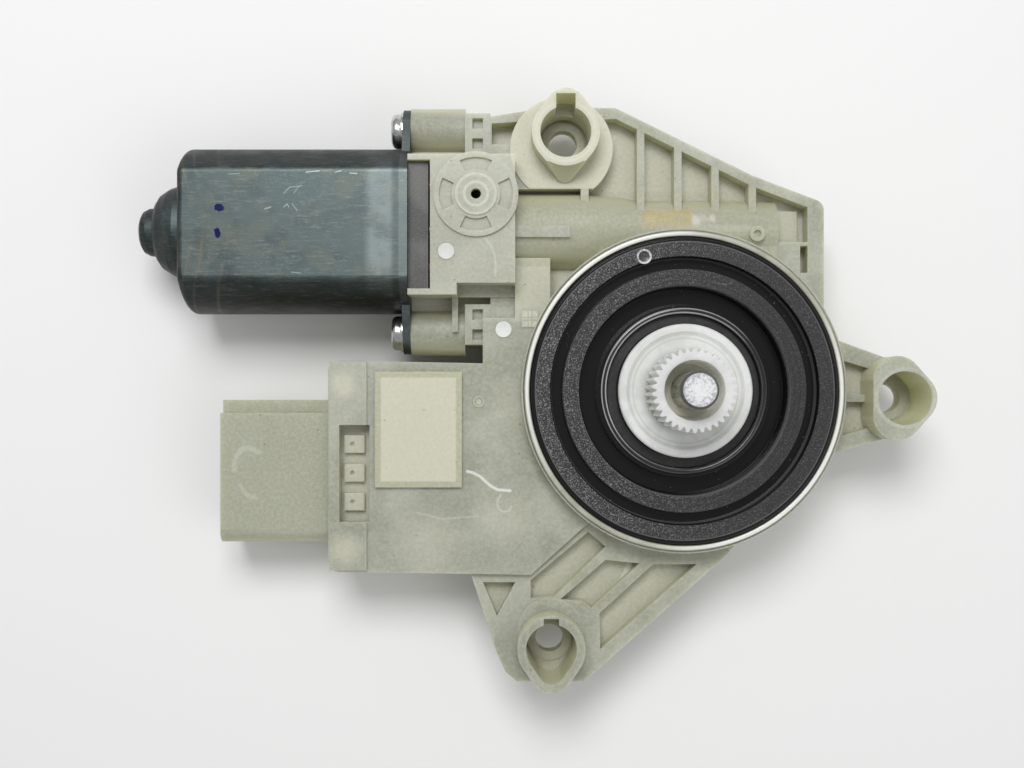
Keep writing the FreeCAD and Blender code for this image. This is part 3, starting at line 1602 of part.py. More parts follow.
def can_screws():
    """Two washer-head screws that hold the can's flange to the block."""
    body = on_motor_axis(new_body("can_screws"))
    body.AllowCompound = True
    for side in (-1, 1):
        for radius, start, length in (
            ("washer_radius", "flange_rear - washer_thickness", "washer_thickness"),
            ("head_radius", "flange_rear - washer_thickness - head_height", "head_height"),
            ("screw_radius", "flange_rear", "flange_thickness + screw_length"),
        ):
            disc = Drawing(body, "YZ", start)
            disc.circle(f"{side} * screw_offset", "0", radius)
            pad(disc, length)
    top = "flange_rear - washer_thickness - head_height"
    soften(body, "head_height * 0.55", lambda e: near(e.BoundBox.XMax, top))
    for side in (-1, 1):
        socket = Drawing(body, "YZ", top)
        corners = []
        for index in range(12):
            reach = "socket_radius" if index % 2 == 0 else "socket_radius * 0.72"
            angle = f"{index * 30} * 1deg"
            corners.append(
                (f"{side} * screw_offset + {reach} * cos({angle})", f"{reach} * sin({angle})")
            )
        socket.polygon(*corners)
        pocket(socket, "socket_depth", back=True)
    return body


# Connector and electronics


def connector_header():
    """Connector with its shroud, and the plug that closes the box.
    Three pillars with moulding dots show through the housing's slot."""
    body = new_body("connector_header")
    shroud = Drawing(body, "YZ", "shroud_left")
    shroud.polygon(
        ("shroud_low_y", "shroud_bottom"),
        ("shroud_top_y", "shroud_bottom"),
        ("shroud_top_y", "shroud_top - shroud_step_drop"),
        ("shroud_top_y - shroud_step", "shroud_top - shroud_step_drop"),
        ("shroud_top_y - shroud_step", "shroud_top"),
        ("shroud_low_y", "shroud_top"),
    )
    pad(shroud, "box_left - shroud_left")
    soften(
        body,
        "shroud_round",
        lambda e: spans(e, "X") and near(e.BoundBox.YMin, "shroud_low_y"),
    )
    plug = Drawing(body, "YZ", "box_left")
    plug.rectangle(
        "box_low_y + box_wall + plug_fit",
        "box_floor + plug_fit",
        "box_top_y - box_wall - plug_fit",
        "box_ceiling - plug_fit - pillar_height",
    )
    pad(plug, "plug_right - box_left")
    collar = Drawing(body, "YZ", "box_left")
    collar.rectangle(
        "box_low_y + box_wall + plug_fit",
        "box_floor + plug_fit",
        "box_top_y - box_wall - plug_fit",
        "box_ceiling - plug_fit",
    )
    pad(collar, "collar_depth")
    mouth = Drawing(body, "YZ", "shroud_left")
    mouth.rectangle(
        "shroud_low_y + shroud_wall",
        "shroud_bottom + shroud_wall",
        "shroud_top_y - shroud_wall",
        "shroud_top - shroud_step_drop - shroud_wall + 1",
    )
    pocket(mouth, "shroud_floor_x - shroud_left - 1.5", back=True)
    # Hollow behind the plug's wall, where the blades bend down to the board.
    back = Drawing(body, "YZ", "plug_right")
    back.rectangle(
        "box_low_y + box_wall + 3", "box_floor + 2", "box_top_y - box_wall - 3", "box_ceiling - 4.5"
    )
    pocket(back, "plug_right - box_left - 2")
    middle_x = "slot_left + slot_width / 2"
    middle_y = "slot_top_y - slot_length / 2"
    blocks = Drawing(body, lift="box_ceiling - plug_fit - pillar_height")
    dots = Drawing(body, lift="box_ceiling - plug_fit")
    count = int(num("pillar_count"))
    for index in range(count):
        row = f"{middle_y} + ({index - (count - 1) / 2}) * pillar_pitch"
        blocks.rectangle(
            f"{middle_x} - pillar_size / 2 - 0.6",
            f"{row} - pillar_size / 2",
            f"{middle_x} + pillar_size / 2",
            f"{row} + pillar_size / 2",
        )
        dots.circle(f"{middle_x} - 0.8", row, "pillar_dot")
    pad(blocks, "pillar_height")
    pocket(dots, "pillar_height / 2")
    # A narrow slit takes each blade through the wall.
    slits = Drawing(body, "YZ", "shroud_floor_x - 1.6")
    for y in blade_rows():
        slits.rectangle(
            f"{y} - blade_width / 2", "blade_height", f"{y} + blade_width / 2",
            "blade_height + blade_thickness",
        )
    pocket(slits, "box_left + 2 - shroud_floor_x + 1.8", back=True)
    return body


def blade_rows():
    """The blades' places along Y, about the connector's middle."""
    count = int(num("blade_count"))
    middle = "(shroud_top_y + shroud_low_y) / 2"
    return [f"{middle} + ({index - (count - 1) / 2}) * blade_pitch" for index in range(count)]


def connector_blades():
    """Flat blades from the connector's mouth to the board, bent down at the end."""
    body = new_body("connector_blades")
    body.AllowCompound = True
    top = "blade_height + blade_thickness"
    for y in blade_rows():
        blade = Drawing(body, "XZ", f"{y} + blade_width / 2")
        blade.polygon(
            ("blade_tip_x", "blade_height + 0.25"),
            ("blade_tip_x + 1", "blade_height"),
            ("blade_end_x - blade_thickness", "blade_height"),
            ("blade_end_x - blade_thickness", "board_top"),
            ("blade_end_x", "board_top"),
            ("blade_end_x", top),
            ("blade_tip_x + 1", top),
            ("blade_tip_x", f"{top} - 0.25"),
        )
        pad(blade, "blade_width")
    return body


def circuit_board():
    body = new_body("circuit_board")
    board = Drawing(body, lift="board_bottom")
    board.rectangle(
        "board_left", "box_low_y + box_wall", "board_right", "box_top_y - box_wall"
    )
    pad(board, "board_thickness")
    return body


def motor_relays():
    """Two relays side by side under the raised panel."""
    body = new_body("motor_relays")
    body.AllowCompound = True
    for index in range(2):
        top = f"relay_top_y - {index} * (relay_width + relay_gap)"
        block = Drawing(body, lift="board_top")
        block.rectangle("relay_left", f"{top} - relay_width", "relay_left + relay_length", top)
        pad(block, "relay_height")
    soften(body, "0.8", lambda e: spans(e, "Z"))
    return body


def board_capacitor():
    """Electrolytic capacitor lying on the board."""
    body = new_body("board_capacitor")
    roll = Drawing(body, "YZ", "relay_left")
    roll.circle(
        "box_low_y + box_wall + capacitor_radius + 3",
        "board_top + capacitor_radius",
        "capacitor_radius",
    )
    pad(roll, "capacitor_length")
    return body


def control_chip():
    body = new_body("control_chip")
    chip = Drawing(body, lift="board_top")
    chip.rectangle(
        "relay_left - 1", "relay_top_y - 2 * relay_width - relay_gap - 2 - chip_size",
        "relay_left - 1 + chip_size", "relay_top_y - 2 * relay_width - relay_gap - 2",
    )
    pad(chip, "chip_height")
    return body


def motor_strips():
    """Two brass strips, one above the other, from the board to the brush holder."""
    body = new_body("motor_strips")
    body.AllowCompound = True
    inset = "(channel_width - strip_width) / 2"
    for index in range(2):
        strip = Drawing(body, lift=f"board_top + {index} * (strip_thickness + strip_gap)")
        strip.polygon(
            ("board_right - 5", f"channel_low_y + {inset}"),
            (f"channel_right - {inset}", f"channel_low_y + {inset}"),
            (f"channel_right - {inset}", f"channel_top_y - {inset}"),
            ("holder_front", f"channel_top_y - {inset}"),
            ("holder_front", f"channel_top_y - {inset} - strip_width"),
            (f"channel_right - {inset} - strip_width", f"channel_top_y - {inset} - strip_width"),
            (f"channel_right - {inset} - strip_width", f"channel_low_y + {inset} + strip_width"),
            ("board_right - 5", f"channel_low_y + {inset} + strip_width"),
        )
        pad(strip, "strip_thickness")
    return body


parts = [
    gear_housing(),
    gear_cover(),
    panel_seal(),
    hub_lip_seal(),
    axle_pin(),
    retaining_ring(),
    drive_hub(),
    rubber_damper(),
    worm_wheel(),
    motor_can(),
    field_magnets(),
    armature_shaft(),
    armature_core(),
    winding_end("rear_winding", "core_rear - winding_length"),
    winding_end("front_winding", "core_front"),
    commutator(),
    sleeve("sensor_magnet", "ring_magnet_rear", "ring_magnet_front", "ring_magnet_radius", "shaft_radius"),
    sleeve(
        "rear_bearing", "cap_rear + cap_wall + 0.6", "cap_rear + cap_wall + 0.6 + bearing_length",
        "bearing_radius", "shaft_rear_radius + shaft_gap",
    ),
    sleeve(
        "front_bearing", "front_bearing_rear", "front_bearing_front",
        "tunnel_bore", "shaft_radius + shaft_gap",
    ),
    sleeve(
        "worm_end_bearing", "end_bearing_rear", "end_bearing_front",
        "tunnel_bore", "shaft_radius + shaft_gap",
    ),
    thrust_plug(),
    brush_holder(),
    carbon_brushes(),
    brush_springs(),
    choke_coils(),
    can_screws(),
    connector_header(),
    connector_blades(),
    circuit_board(),
    motor_relays(),
    board_capacitor(),
    control_chip(),
    motor_strips(),
]
doc.recompute()

for item in doc.Objects:
    if "Invalid" in item.State or "Error" in item.State:
        raise RuntimeError(f"{item.Name} in {item.getParentGroup()} failed: {item.State}")
    base = getattr(item, "BaseFeature", None)
    if item.TypeId in ("PartDesign::Pocket", "PartDesign::Groove") and base:
        if abs(base.Shape.Volume - item.Shape.Volume) < 1e-6:
            raise RuntimeError(f"{item.Name} cuts nothing")

os.makedirs("parts", exist_ok=True)
for item in parts:
    shape = item.Shape
    if shape.isNull() or not shape.isValid() or not shape.Solids:
        raise RuntimeError(f"{item.Label} is not a sound solid")
    shape.exportStep(f"parts/{item.Label}.step")
    print(f"{item.Label}: {len(shape.Solids)} solid(s), {shape.Volume:.1f} mm3")
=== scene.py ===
import bpy
import math
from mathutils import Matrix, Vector


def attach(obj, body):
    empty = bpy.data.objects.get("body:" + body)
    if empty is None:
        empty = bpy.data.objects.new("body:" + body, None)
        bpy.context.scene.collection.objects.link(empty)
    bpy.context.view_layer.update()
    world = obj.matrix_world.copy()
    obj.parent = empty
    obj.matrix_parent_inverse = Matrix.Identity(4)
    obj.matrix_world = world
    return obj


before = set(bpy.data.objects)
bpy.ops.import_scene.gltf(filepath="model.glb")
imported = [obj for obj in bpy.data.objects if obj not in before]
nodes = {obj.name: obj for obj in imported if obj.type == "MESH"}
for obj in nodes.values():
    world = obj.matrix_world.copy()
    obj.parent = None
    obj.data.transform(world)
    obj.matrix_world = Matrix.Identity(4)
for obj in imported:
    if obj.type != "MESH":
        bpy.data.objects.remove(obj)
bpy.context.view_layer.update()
print("frame loaded:", len(nodes), "nodes")

mm = 0.001


# Sums on shader sockets: each operator adds one Math node
class Wire:
    def __init__(self, finish, socket):
        self.finish = finish
        self.socket = socket

    def maths(self, operation, first, second=0.0):
        return self.finish.node("ShaderNodeMath", {"operation": operation}, {0: first, 1: second})

    def __add__(self, other):
        return self.maths("ADD", self, other)

    def __radd__(self, other):
        return self.maths("ADD", other, self)

    def __sub__(self, other):
        return self.maths("SUBTRACT", self, other)

    def __rsub__(self, other):
        return self.maths("SUBTRACT", other, self)

    def __mul__(self, other):
        return self.maths("MULTIPLY", self, other)

    def __rmul__(self, other):
        return self.maths("MULTIPLY", other, self)

    def __truediv__(self, other):
        return self.maths("DIVIDE", self, other)

    def __pow__(self, other):
        return self.maths("POWER", self, other)

    def __abs__(self):
        return self.maths("ABSOLUTE", self)

    def least(self, other):
        return self.maths("MINIMUM", self, other)

    def most(self, other):
        return self.maths("MAXIMUM", self, other)


# One material, with short ways to add nodes to it
class Finish:
    def __init__(self, name, values):
        self.material = bpy.data.materials.new(name)
        self.material.use_nodes = True
        self.tree = self.material.node_tree
        self.shader = self.tree.nodes["Principled BSDF"]
        self.look(values)
        spot = self.node("ShaderNodeTexCoord", {}, {}, "Object")
        self.place = self.node("ShaderNodeVectorMath", {"operation": "SCALE"}, {0: spot, "Scale": 1 / mm})
        self.x, self.y, self.z = (
            self.node("ShaderNodeSeparateXYZ", {}, {0: self.place}, axis) for axis in "XYZ"
        )
        normal = self.node("ShaderNodeTexCoord", {}, {}, "Normal")
        self.up = self.node("ShaderNodeSeparateXYZ", {}, {0: normal}, "Z")

    def node(self, kind, settings, inputs, out=0):
        made = self.tree.nodes.new(kind)
        for key, value in settings.items():
            setattr(made, key, value)
        for key, value in inputs.items():
            self.feed(made.inputs[key], value)
        return Wire(self, made.outputs[out])

    def feed(self, socket, value):
        if isinstance(value, Wire):
            self.tree.links.new(value.socket, socket)
        elif socket.type == "RGBA":
            socket.default_value = (*value, 1.0)
        else:
            socket.default_value = value

    def look(self, values):
        for key, value in values.items():
            self.feed(self.shader.inputs[key], value)

    # grain of a size in millimetres, from 0 to 1
    def noise(self, size, detail=2.0, rough=0.5, stretch=(1, 1, 1), shift=(0, 0, 0)):
        placed = {"Vector": self.place, "Location": shift, "Scale": stretch}
        spot = self.node("ShaderNodeMapping", {}, placed)
        inputs = {"Vector": spot, "Scale": 1.0 / size, "Detail": detail, "Roughness": rough}
        return self.node("ShaderNodeTexNoise", {}, inputs, "Fac")

    # 0 below low, 1 above high, smooth between
    def step(self, value, low, high):
        inputs = {"Value": value, "From Min": low, "From Max": high}
        return self.node("ShaderNodeMapRange", {"interpolation_type": "SMOOTHSTEP"}, inputs)

    def mix(self, factor, first, second):
        return self.node("ShaderNodeMix", {"data_type": "RGBA"}, {0: factor, 6: first, 7: second}, 2)

    def bump(self, height, strength, distance):
        inputs = {"Height": height, "Strength": strength, "Distance": distance * mm}
        self.look({"Normal": self.node("ShaderNodeBump", {}, inputs, "Normal")})

    # 1 inside a rectangle seen from above, fading over soft millimetres
    def patch(self, left, low, right, high, soft=0.3):
        across = self.step(self.x, left - soft, left) * (1 - self.step(self.x, right, right + soft))
        return across * self.step(self.y, low - soft, low) * (1 - self.step(self.y, high, high + soft))

    def away(self, x, y):
        dx = self.x - x
        dy = self.y - y
        return (dx * dx + dy * dy) ** 0.5

    # 1 on a disc seen from above
    def disc(self, x, y, radius, soft=0.4):
        return 1 - self.step(self.away(x, y), radius, radius + soft)

    # 1 on a circle seen from above
    def ring(self, x, y, radius, width, soft=0.2):
        return 1 - self.step(abs(self.away(x, y) - radius), width / 2, width / 2 + soft)

    # 1 along a line through points seen from above
    def stroke(self, points, width, soft):
        nearest = None
        for (ax, ay), (bx, by) in zip(points, points[1:]):
            lx, ly = bx - ax, by - ay
            length = lx * lx + ly * ly
            along = ((self.x - ax) * lx + (self.y - ay) * ly) / length
            along = along.most(0.0).least(1.0)
            dx = self.x - ax - along * lx
            dy = self.y - ay - along * ly
            gap = dx * dx + dy * dy
            nearest = gap if nearest is None else nearest.least(gap)
        return 1 - self.step(nearest ** 0.5, width, width + soft)


# Milky housing: grained grey-white flats; smoother, greener walls and the cell floors painted lighter, as
# painted light coming through the moulding

housingLook = {
    "flat": (0.400, 0.412, 0.335),
    "flatDark": (0.315, 0.325, 0.250),
    "wall": (0.500, 0.500, 0.350),
    "floor": (0.470, 0.470, 0.370),
    "pale": (0.590, 0.580, 0.455),
    "boss": (0.540, 0.540, 0.420),
    "tube": (0.390, 0.395, 0.290),
    "grease": (0.480, 0.400, 0.190),
    "scuffAndGlint": (0.800, 0.810, 0.760),
    "dirt": (0.120, 0.105, 0.070),
    "roughness": 0.40,
    "glow": 0.55,
    "reach": 5.0,
    "shroud": (0.365, 0.375, 0.275),
    "shade": (0.240, 0.250, 0.195),
    "panelEdge": (0.430, 0.440, 0.300),
}
# left, low, right and high of each area seen from above, in millimetres
housingAreas = {
    "panel": (-69.1, -21.6, -49.8, 4.2),
    "panelInside": (-67.7, -20.2, -51.2, 2.8, 0.5),
    "slot": (-77.4, -29.7, -70.6, -7.7),
    "block": (-61.5, 21.0, -37.6, 53.0),
    "shelf": (-37.6, 16.0, -29.6, 30.2),
    "shroud": (-105.0, -35.0, -80.2, -1.9),
    "tube": (-37.0, 28.5, 22.0, 46.0, 0.5),
    "grease": (-8.0, 38.0, 2.5, 40.6, 1.4),
    "wiped": (3.2, 38.2, 7.4, 39.6, 1.0),
}
platformDisc = (-27.0, 55.3, 11.9)
# radii between which the rim round the black lid lies, each with its fade
rimRadii = ((33.8, 34.2), (36.4, 36.8))
# x, y, radius and strength of each light pool, in millimetres
lightPools = [
    (-76.5, 1.5, 3.4, 0.75), (-76.0, -35.8, 4.0, 0.6), (-57.0, -34.5, 8.0, 0.35), (-40.0, -28.0, 7.0, 0.3),
    (-56.5, -15.5, 4.0, 0.3), (-38.5, -3.0, 6.0, 0.25),
]
# points, half width and strength of each scuff
scuffMarks = [
    ([(-48.4, -18.2), (-47.0, -18.6), (-45.6, -19.3), (-44.4, -20.4), (-43.4, -21.3), (-41.6, -22.4),
      (-38.7, -22.6)], 0.20, 0.75),
    ([(-40.9, -23.6), (-41.5, -24.6), (-41.6, -25.7), (-41.2, -26.8), (-40.2, -27.4), (-39.0, -27.2),
      (-38.4, -26.2)], 0.10, 0.30),
    ([(-60.0, -27.5), (-54.0, -29.0), (-46.0, -28.4)], 0.05, 0.20),
    ([(-44.3, 33.9), (-43.0, 32.2), (-42.2, 30.2), (-41.9, 27.9), (-42.0, 25.5)], 0.10, 0.22),
]
# the same on the connector
shroudMarks = [
    ([(-101.8, -18.0), (-101.7, -16.2), (-101.0, -14.4), (-99.9, -13.2), (-98.3, -12.9),
      (-96.3, -13.9)], 0.3, 0.18),
    ([(-100.4, -21.5), (-99.8, -22.8), (-98.8, -23.8), (-96.8, -24.4)], 0.2, 0.15),
]
# the whitened line in the low wing: points, half width and strength
stressMark = ([(-11.0, -38.0), (-11.3, -40.3), (-12.8, -43.3), (-15.4, -46.2)], 0.30, 0.55)
# x, y, radius and strength of the light rings round the bosses and on the pad
stressRings = [
    (-26.3, 57.8, 6.6, 0.18), (-46.3, 43.6, 2.6, 0.35), (-46.3, 43.6, 4.4, 0.25), (49.3, -1.6, 6.5, 0.12),
]


def housingFinish():
    look = housingLook
    finish = Finish("milkyHousing", {
        "Subsurface Weight": look["glow"], "Subsurface Radius": (1.0, 1.0, 0.7),
        "Subsurface Scale": look["reach"] * mm,
    })
    flat = finish.step(finish.up, 0.55, 0.97)
    cloud = finish.step(finish.noise(14.0, 3.0, 0.55), 0.36, 0.64)
    speckle = finish.noise(0.8, 3.0, 0.7)
    colour = finish.mix(cloud, look["flatDark"], look["flat"])
    # floors of the open cells, painted lighter as painted light coming through the moulding, then the raised
    # panel and the platforms
    deep = 1 - finish.step(finish.z, 17.6, 18.6)
    colour = finish.mix(deep, colour, look["floor"])
    area = {name: finish.patch(*values) for name, values in housingAreas.items()}
    panel = area["panel"] * finish.step(finish.z, 22.5, 22.8)
    slot = area["slot"] * (1 - finish.step(finish.z, 20.5, 22.0))
    platform = finish.disc(*platformDisc) * finish.step(finish.z, 20.6, 20.9)
    block = area["block"] * finish.step(finish.z, 26.0, 27.5)
    shelf = area["shelf"] * finish.step(finish.z, 21.0, 21.5)
    colour = finish.mix(panel, colour, look["panelEdge"])
    colour = finish.mix((area["panelInside"] * panel).most(slot * 0.6), colour, look["pale"])
    colour = finish.mix(platform.most(block * 0.25).most(shelf * 0.7), colour, look["boss"])
    colour = finish.mix(area["shroud"] * 0.8, colour, look["shroud"])
    # greyer towards the box's low edge and on the rim round the black lid
    low = 1 - finish.step(finish.y, -41.0, -26.0)
    colour = finish.mix(low * finish.step(finish.z, 21.8, 21.9) * 0.3, colour, look["shade"])
    away = finish.away(0, 0)
    inside, outside = rimRadii
    rim = finish.step(away, *inside) * (1 - finish.step(away, *outside))
    colour = finish.mix(rim * finish.step(finish.z, 24.0, 25.0) * 0.3, colour, look["shade"])
    # the round tunnel shows the dark metal behind its wall
    tube = area["tube"] * finish.step(finish.z, 15.0, 17.0) * (1 - finish.step(finish.z, 23.7, 24.0))
    colour = finish.mix(tube * 0.8, colour, look["tube"])
    # light pools where the moulding is thick or stands off from what is behind it
    for x, y, radius, amount in lightPools:
        pool = finish.disc(x, y, radius * 0.3, radius)
        colour = finish.mix(pool * flat * amount, colour, look["pale"])
    # side walls painted lighter and greener: painted light coming through the moulding
    colour = finish.mix((1 - flat) * 0.85, colour, look["wall"])
    # grease shows yellow through the tunnel, with a wiped place beside it
    smear = finish.step(finish.noise(4.0, 3.0), 0.36, 0.60)
    colour = finish.mix(area["grease"] * tube * (smear * 0.5 + 0.35), colour, look["grease"])
    colour = finish.mix(area["wiped"] * tube * smear * 0.5, colour, look["scuffAndGlint"])
    # light specks on the flats: partly grain, partly painted glints
    colour = finish.mix(finish.step(speckle, 0.35, 0.70) * flat * 0.16, colour, look["scuffAndGlint"])
    top = finish.step(finish.z, 21.6, 21.9)
    for points, width, amount in scuffMarks:
        colour = finish.mix(finish.stroke(points, width, 0.25) * top * amount, colour, look["scuffAndGlint"])
    left = 1 - finish.step(finish.x, -80.6, -80.2)
    for points, width, amount in shroudMarks:
        colour = finish.mix(finish.stroke(points, width, 0.6) * left * amount, colour, look["scuffAndGlint"])
    points, width, amount = stressMark
    colour = finish.mix(finish.stroke(points, width, 0.5) * deep * amount, colour, look["scuffAndGlint"])
    for x, y, radius, amount in stressRings:
        colour = finish.mix(finish.ring(x, y, radius, 0.25, 0.35) * amount, colour, look["scuffAndGlint"])
    specks = finish.step(finish.noise(1.1, 1.0, shift=(3, 7, 1)), 0.75, 0.79)
    colour = finish.mix(specks * 0.45, colour, look["dirt"])
    grain = finish.noise(0.42, 3.0, 0.6)
    rough = flat * 0.08 + speckle * 0.14 + (look["roughness"] - 0.10)
    finish.look({"Base Color": colour, "Roughness": rough})
    finish.bump(grain * (flat * 0.8 + 0.2), 0.35, 0.14)
    return finish.material


# Other mouldings, plain but for grain and slow changes of shade

def moulding(name, colour, shade, roughness, size, depth):
    finish = Finish(name, {})
    drift = finish.step(finish.noise(8.0, 3.0), 0.35, 0.65)
    grain = finish.noise(size, 3.0, 0.6)
    finish.look({"Base Color": finish.mix(drift * 0.5 + finish.step(grain, 0.4, 0.7) * 0.4, colour, shade)})
    finish.look({"Roughness": grain * 0.2 + (roughness - 0.1)})
    finish.bump(grain, 0.3, depth)
    return finish.material


# White hub: satin, a little grey where the cable drum rubbed; its well is painted light and its foot painted
# shade

hubLook = {
    "white": (0.800, 0.810, 0.780),
    "grey": (0.710, 0.720, 0.690),
    "wearAndPaintedLight": (0.560, 0.565, 0.530),
    "paintedWellLight": (0.930, 0.920, 0.830),
    "glow": 0.80,
    "reach": 5.0,
    "turnedLines": (11.6, 12.5),
}


def hubFinish():
    look = hubLook
    finish = Finish("whiteHub", {
        "Subsurface Weight": look["glow"], "Subsurface Radius": (1.0, 1.0, 0.85),
        "Subsurface Scale": look["reach"] * mm,
    })
    away = finish.away(0, 0)
    colour = finish.mix(finish.step(finish.noise(3.5, 4.0), 0.4, 0.65), look["white"], look["grey"])
    rubbed = finish.step(finish.noise(0.7, 4.0, 0.7), 0.56, 0.70) * finish.step(finish.z, 33.0, 41.0)
    colour = finish.mix(rubbed * 0.3, colour, look["wearAndPaintedLight"])
    # painted shade at the foot of the hub, where it meets the lid
    foot = (1 - finish.step(away, 9.1, 10.4)) * (1 - finish.step(finish.z, 29.5, 31.0))
    colour = finish.mix(foot * 0.35, colour, look["wearAndPaintedLight"])
    # the open well round the pin, painted near white: painted light filling the well
    paintedWellLight = (1 - finish.step(away, 6.5, 6.7)) * (1 - finish.step(finish.z, 41.6, 41.9))
    colour = finish.mix(paintedWellLight, colour, look["paintedWellLight"])
    # fine turning lines on the dished disc
    for radius in look["turnedLines"]:
        colour = finish.mix(finish.ring(0, 0, radius, 0.15) * 0.5, colour, look["wearAndPaintedLight"])
    finish.look({"Base Color": colour, "Roughness": finish.noise(1.5, 3.0) * 0.2 + 0.26})
    finish.bump(finish.noise(0.9, 3.0), 0.12, 0.08)
    return finish.material


# Steel pin: end painted near white and less metallic as a painted highlight, with a dark edge; grey-green
# side, a painted reflection of the hub

pinLook = {
    "end": (0.930, 0.930, 0.940),
    "fleck": (0.300, 0.310, 0.330),
    "edge": (0.100, 0.100, 0.095),
    "side": (0.420, 0.420, 0.360),
}


def pinFinish():
    look = pinLook
    finish = Finish("pinSteel", {})
    end = finish.step(finish.z, 46.7, 46.8)
    away = finish.away(0, 0)
    flecks = finish.step(finish.noise(0.6, 4.0, 0.8) + away * 0.045, 0.56, 0.68)
    # the end is painted near white, and made less metallic below: a painted highlight
    colour = finish.mix(flecks * 0.8, look["end"], look["fleck"])
    colour = finish.mix(finish.step(away, 3.35, 3.6), colour, look["edge"])
    streaks = finish.step(finish.noise(0.9, 3.0, 0.6, stretch=(1.0, 1.0, 0.15)), 0.40, 0.66)
    # the side's grey-green colour is a painted reflection of the hub
    side = finish.mix(streaks * 0.7, look["side"], look["edge"])
    colour = finish.mix(end, side, colour)
    finish.look({"Base Color": colour, "Metallic": 0.85 - end * 0.55, "Roughness": flecks * 0.2 + 0.22})
    finish.bump(finish.noise(0.5, 4.0, 0.7), 0.35, 0.10)
    return finish.material


# Black lid: leather grain on the rings with painted highlights on its peaks, glossy steps between them

lidLook = {
    "step": (0.006, 0.006, 0.007),
    "ring": (0.024, 0.024, 0.025),
    "grainHighlightAndScrape": (0.340, 0.340, 0.345),
    "edge": (0.300, 0.300, 0.300),
    "dust": (0.300, 0.300, 0.290),
}
# radius, width and strength of the painted highlights along the edges of the steps
lidEdges = [
    (23.45, 0.10, 0.45), (27.05, 0.10, 0.35), (29.55, 0.10, 0.30), (33.15, 0.10, 0.35), (19.4, 0.12, 0.25),
]
turnedLines = (24.4, 25.6)


def lidFinish(name, peakShare):
    look = lidLook
    finish = Finish(name, {"Specular IOR Level": 0.3})
    top = finish.step(finish.z, 27.6, 27.9)
    away = finish.away(0, 0)
    face = top * (1 - finish.step(away, 33.0, 33.1))
    grain = finish.noise(0.26, 2.0, 0.7)
    # the grain's peaks are painted light grey: painted highlights on the grain
    peaks = finish.step(grain, 0.50, 0.72)
    # painted light: the grain's painted highlights grow stronger towards the side of the motor
    drift = finish.step(finish.noise(14.0, 2.0) * 12.0 - finish.x * 0.5, -6.0, 22.0)
    colour = finish.mix(face, look["step"], look["ring"])
    colour = finish.mix(peaks * face * (drift * 0.75 + peakShare), colour, look["grainHighlightAndScrape"])
    # turning lines on the inner ring
    lines = finish.noise(0.5, 2.0, 0.5)
    for radius in turnedLines:
        colour = finish.mix(finish.ring(0, 0, radius, 0.1) * lines * 0.7, colour, look["step"])
    for radius, width, amount in lidEdges:
        colour = finish.mix(finish.ring(0, 0, radius, width, 0.12) * amount, colour, look["edge"])
    dust = finish.step(finish.noise(0.6, 1.0, shift=(5, 9, 2)), 0.74, 0.78)
    colour = finish.mix(dust * 0.35, colour, look["dust"])
    # scrapes on the outer ring beside the raised circle
    scrape = finish.step(finish.noise(1.6, 5.0, 0.8, stretch=(0.4, 1.2, 1.0)), 0.60, 0.66)
    colour = finish.mix(scrape * finish.disc(10.0, 28.5, 3.0, 5.0) * face * 0.5, colour, look["grainHighlightAndScrape"])
    finish.look({"Base Color": colour, "Roughness": face * 0.30 + grain * 0.08 + 0.16})
    finish.bump(finish.noise(0.45, 4.0, 0.7) * (face * 0.95 + 0.02), 0.5, 0.22)
    return finish.material


# A small raised circle: worn rim round a specked middle

def circleFinish(name, x, y, radius, base, rimColour):
    finish = Finish(name, {})
    wearAndPaintedLight = finish.step(finish.noise(0.5, 3.0, 0.7), 0.35, 0.55)
    rim = finish.ring(x, y, radius - 0.25, 0.3, 0.15) * (wearAndPaintedLight * 0.6 + 0.3)
    specks = finish.step(finish.noise(0.3, 3.0, 0.7), 0.58, 0.66) * 0.4
    finish.look({"Base Color": finish.mix(rim.most(specks), base, rimColour)})
    finish.look({"Roughness": wearAndPaintedLight * 0.2 + 0.2})
    return finish.material


# A raised square with a cross, drawn by shallow grooves

gridLook = {
    "colour": (0.500, 0.505, 0.415),
    "wearAndPaintedLight": (0.590, 0.590, 0.500),
    "groove": (0.300, 0.305, 0.215),
    "barWide": 0.42,
    "barHigh": 0.34,
}


def gridFinish(x, y, half):
    look = gridLook
    finish = Finish("gridMark", {})
    dx = abs(finish.x - x)
    dy = abs(finish.y - y)
    upright = 1 - finish.step(abs(dx - look["barWide"]), 0.05, 0.2)
    level = 1 - finish.step(abs(dy - look["barHigh"]), 0.05, 0.2)
    edge = finish.step(dx.most(dy), half - 0.45, half - 0.2)
    drift = finish.step(finish.noise(1.2, 3.0), 0.4, 0.6)
    colour = finish.mix(drift, look["colour"], look["wearAndPaintedLight"])
    grooves = (upright.most(level) * 0.6).most(edge * 0.45)
    finish.look({"Base Color": finish.mix(grooves, colour, look["groove"])})
    finish.look({"Roughness": drift * 0.15 + 0.36})
    return finish.material


# Zinc plated can with rolling marks, scratches, nicks and two ink spots; its sides painted dark as painted
# shade and a painted highlight on the flange

canLook = {
    "zinc": (0.092, 0.118, 0.117),
    "dull": (0.058, 0.074, 0.073),
    "warm": (0.150, 0.140, 0.105),
    "side": (0.034, 0.037, 0.036),
    "bright": (0.420, 0.470, 0.470),
    "ink": (0.000, 0.003, 0.065),
}
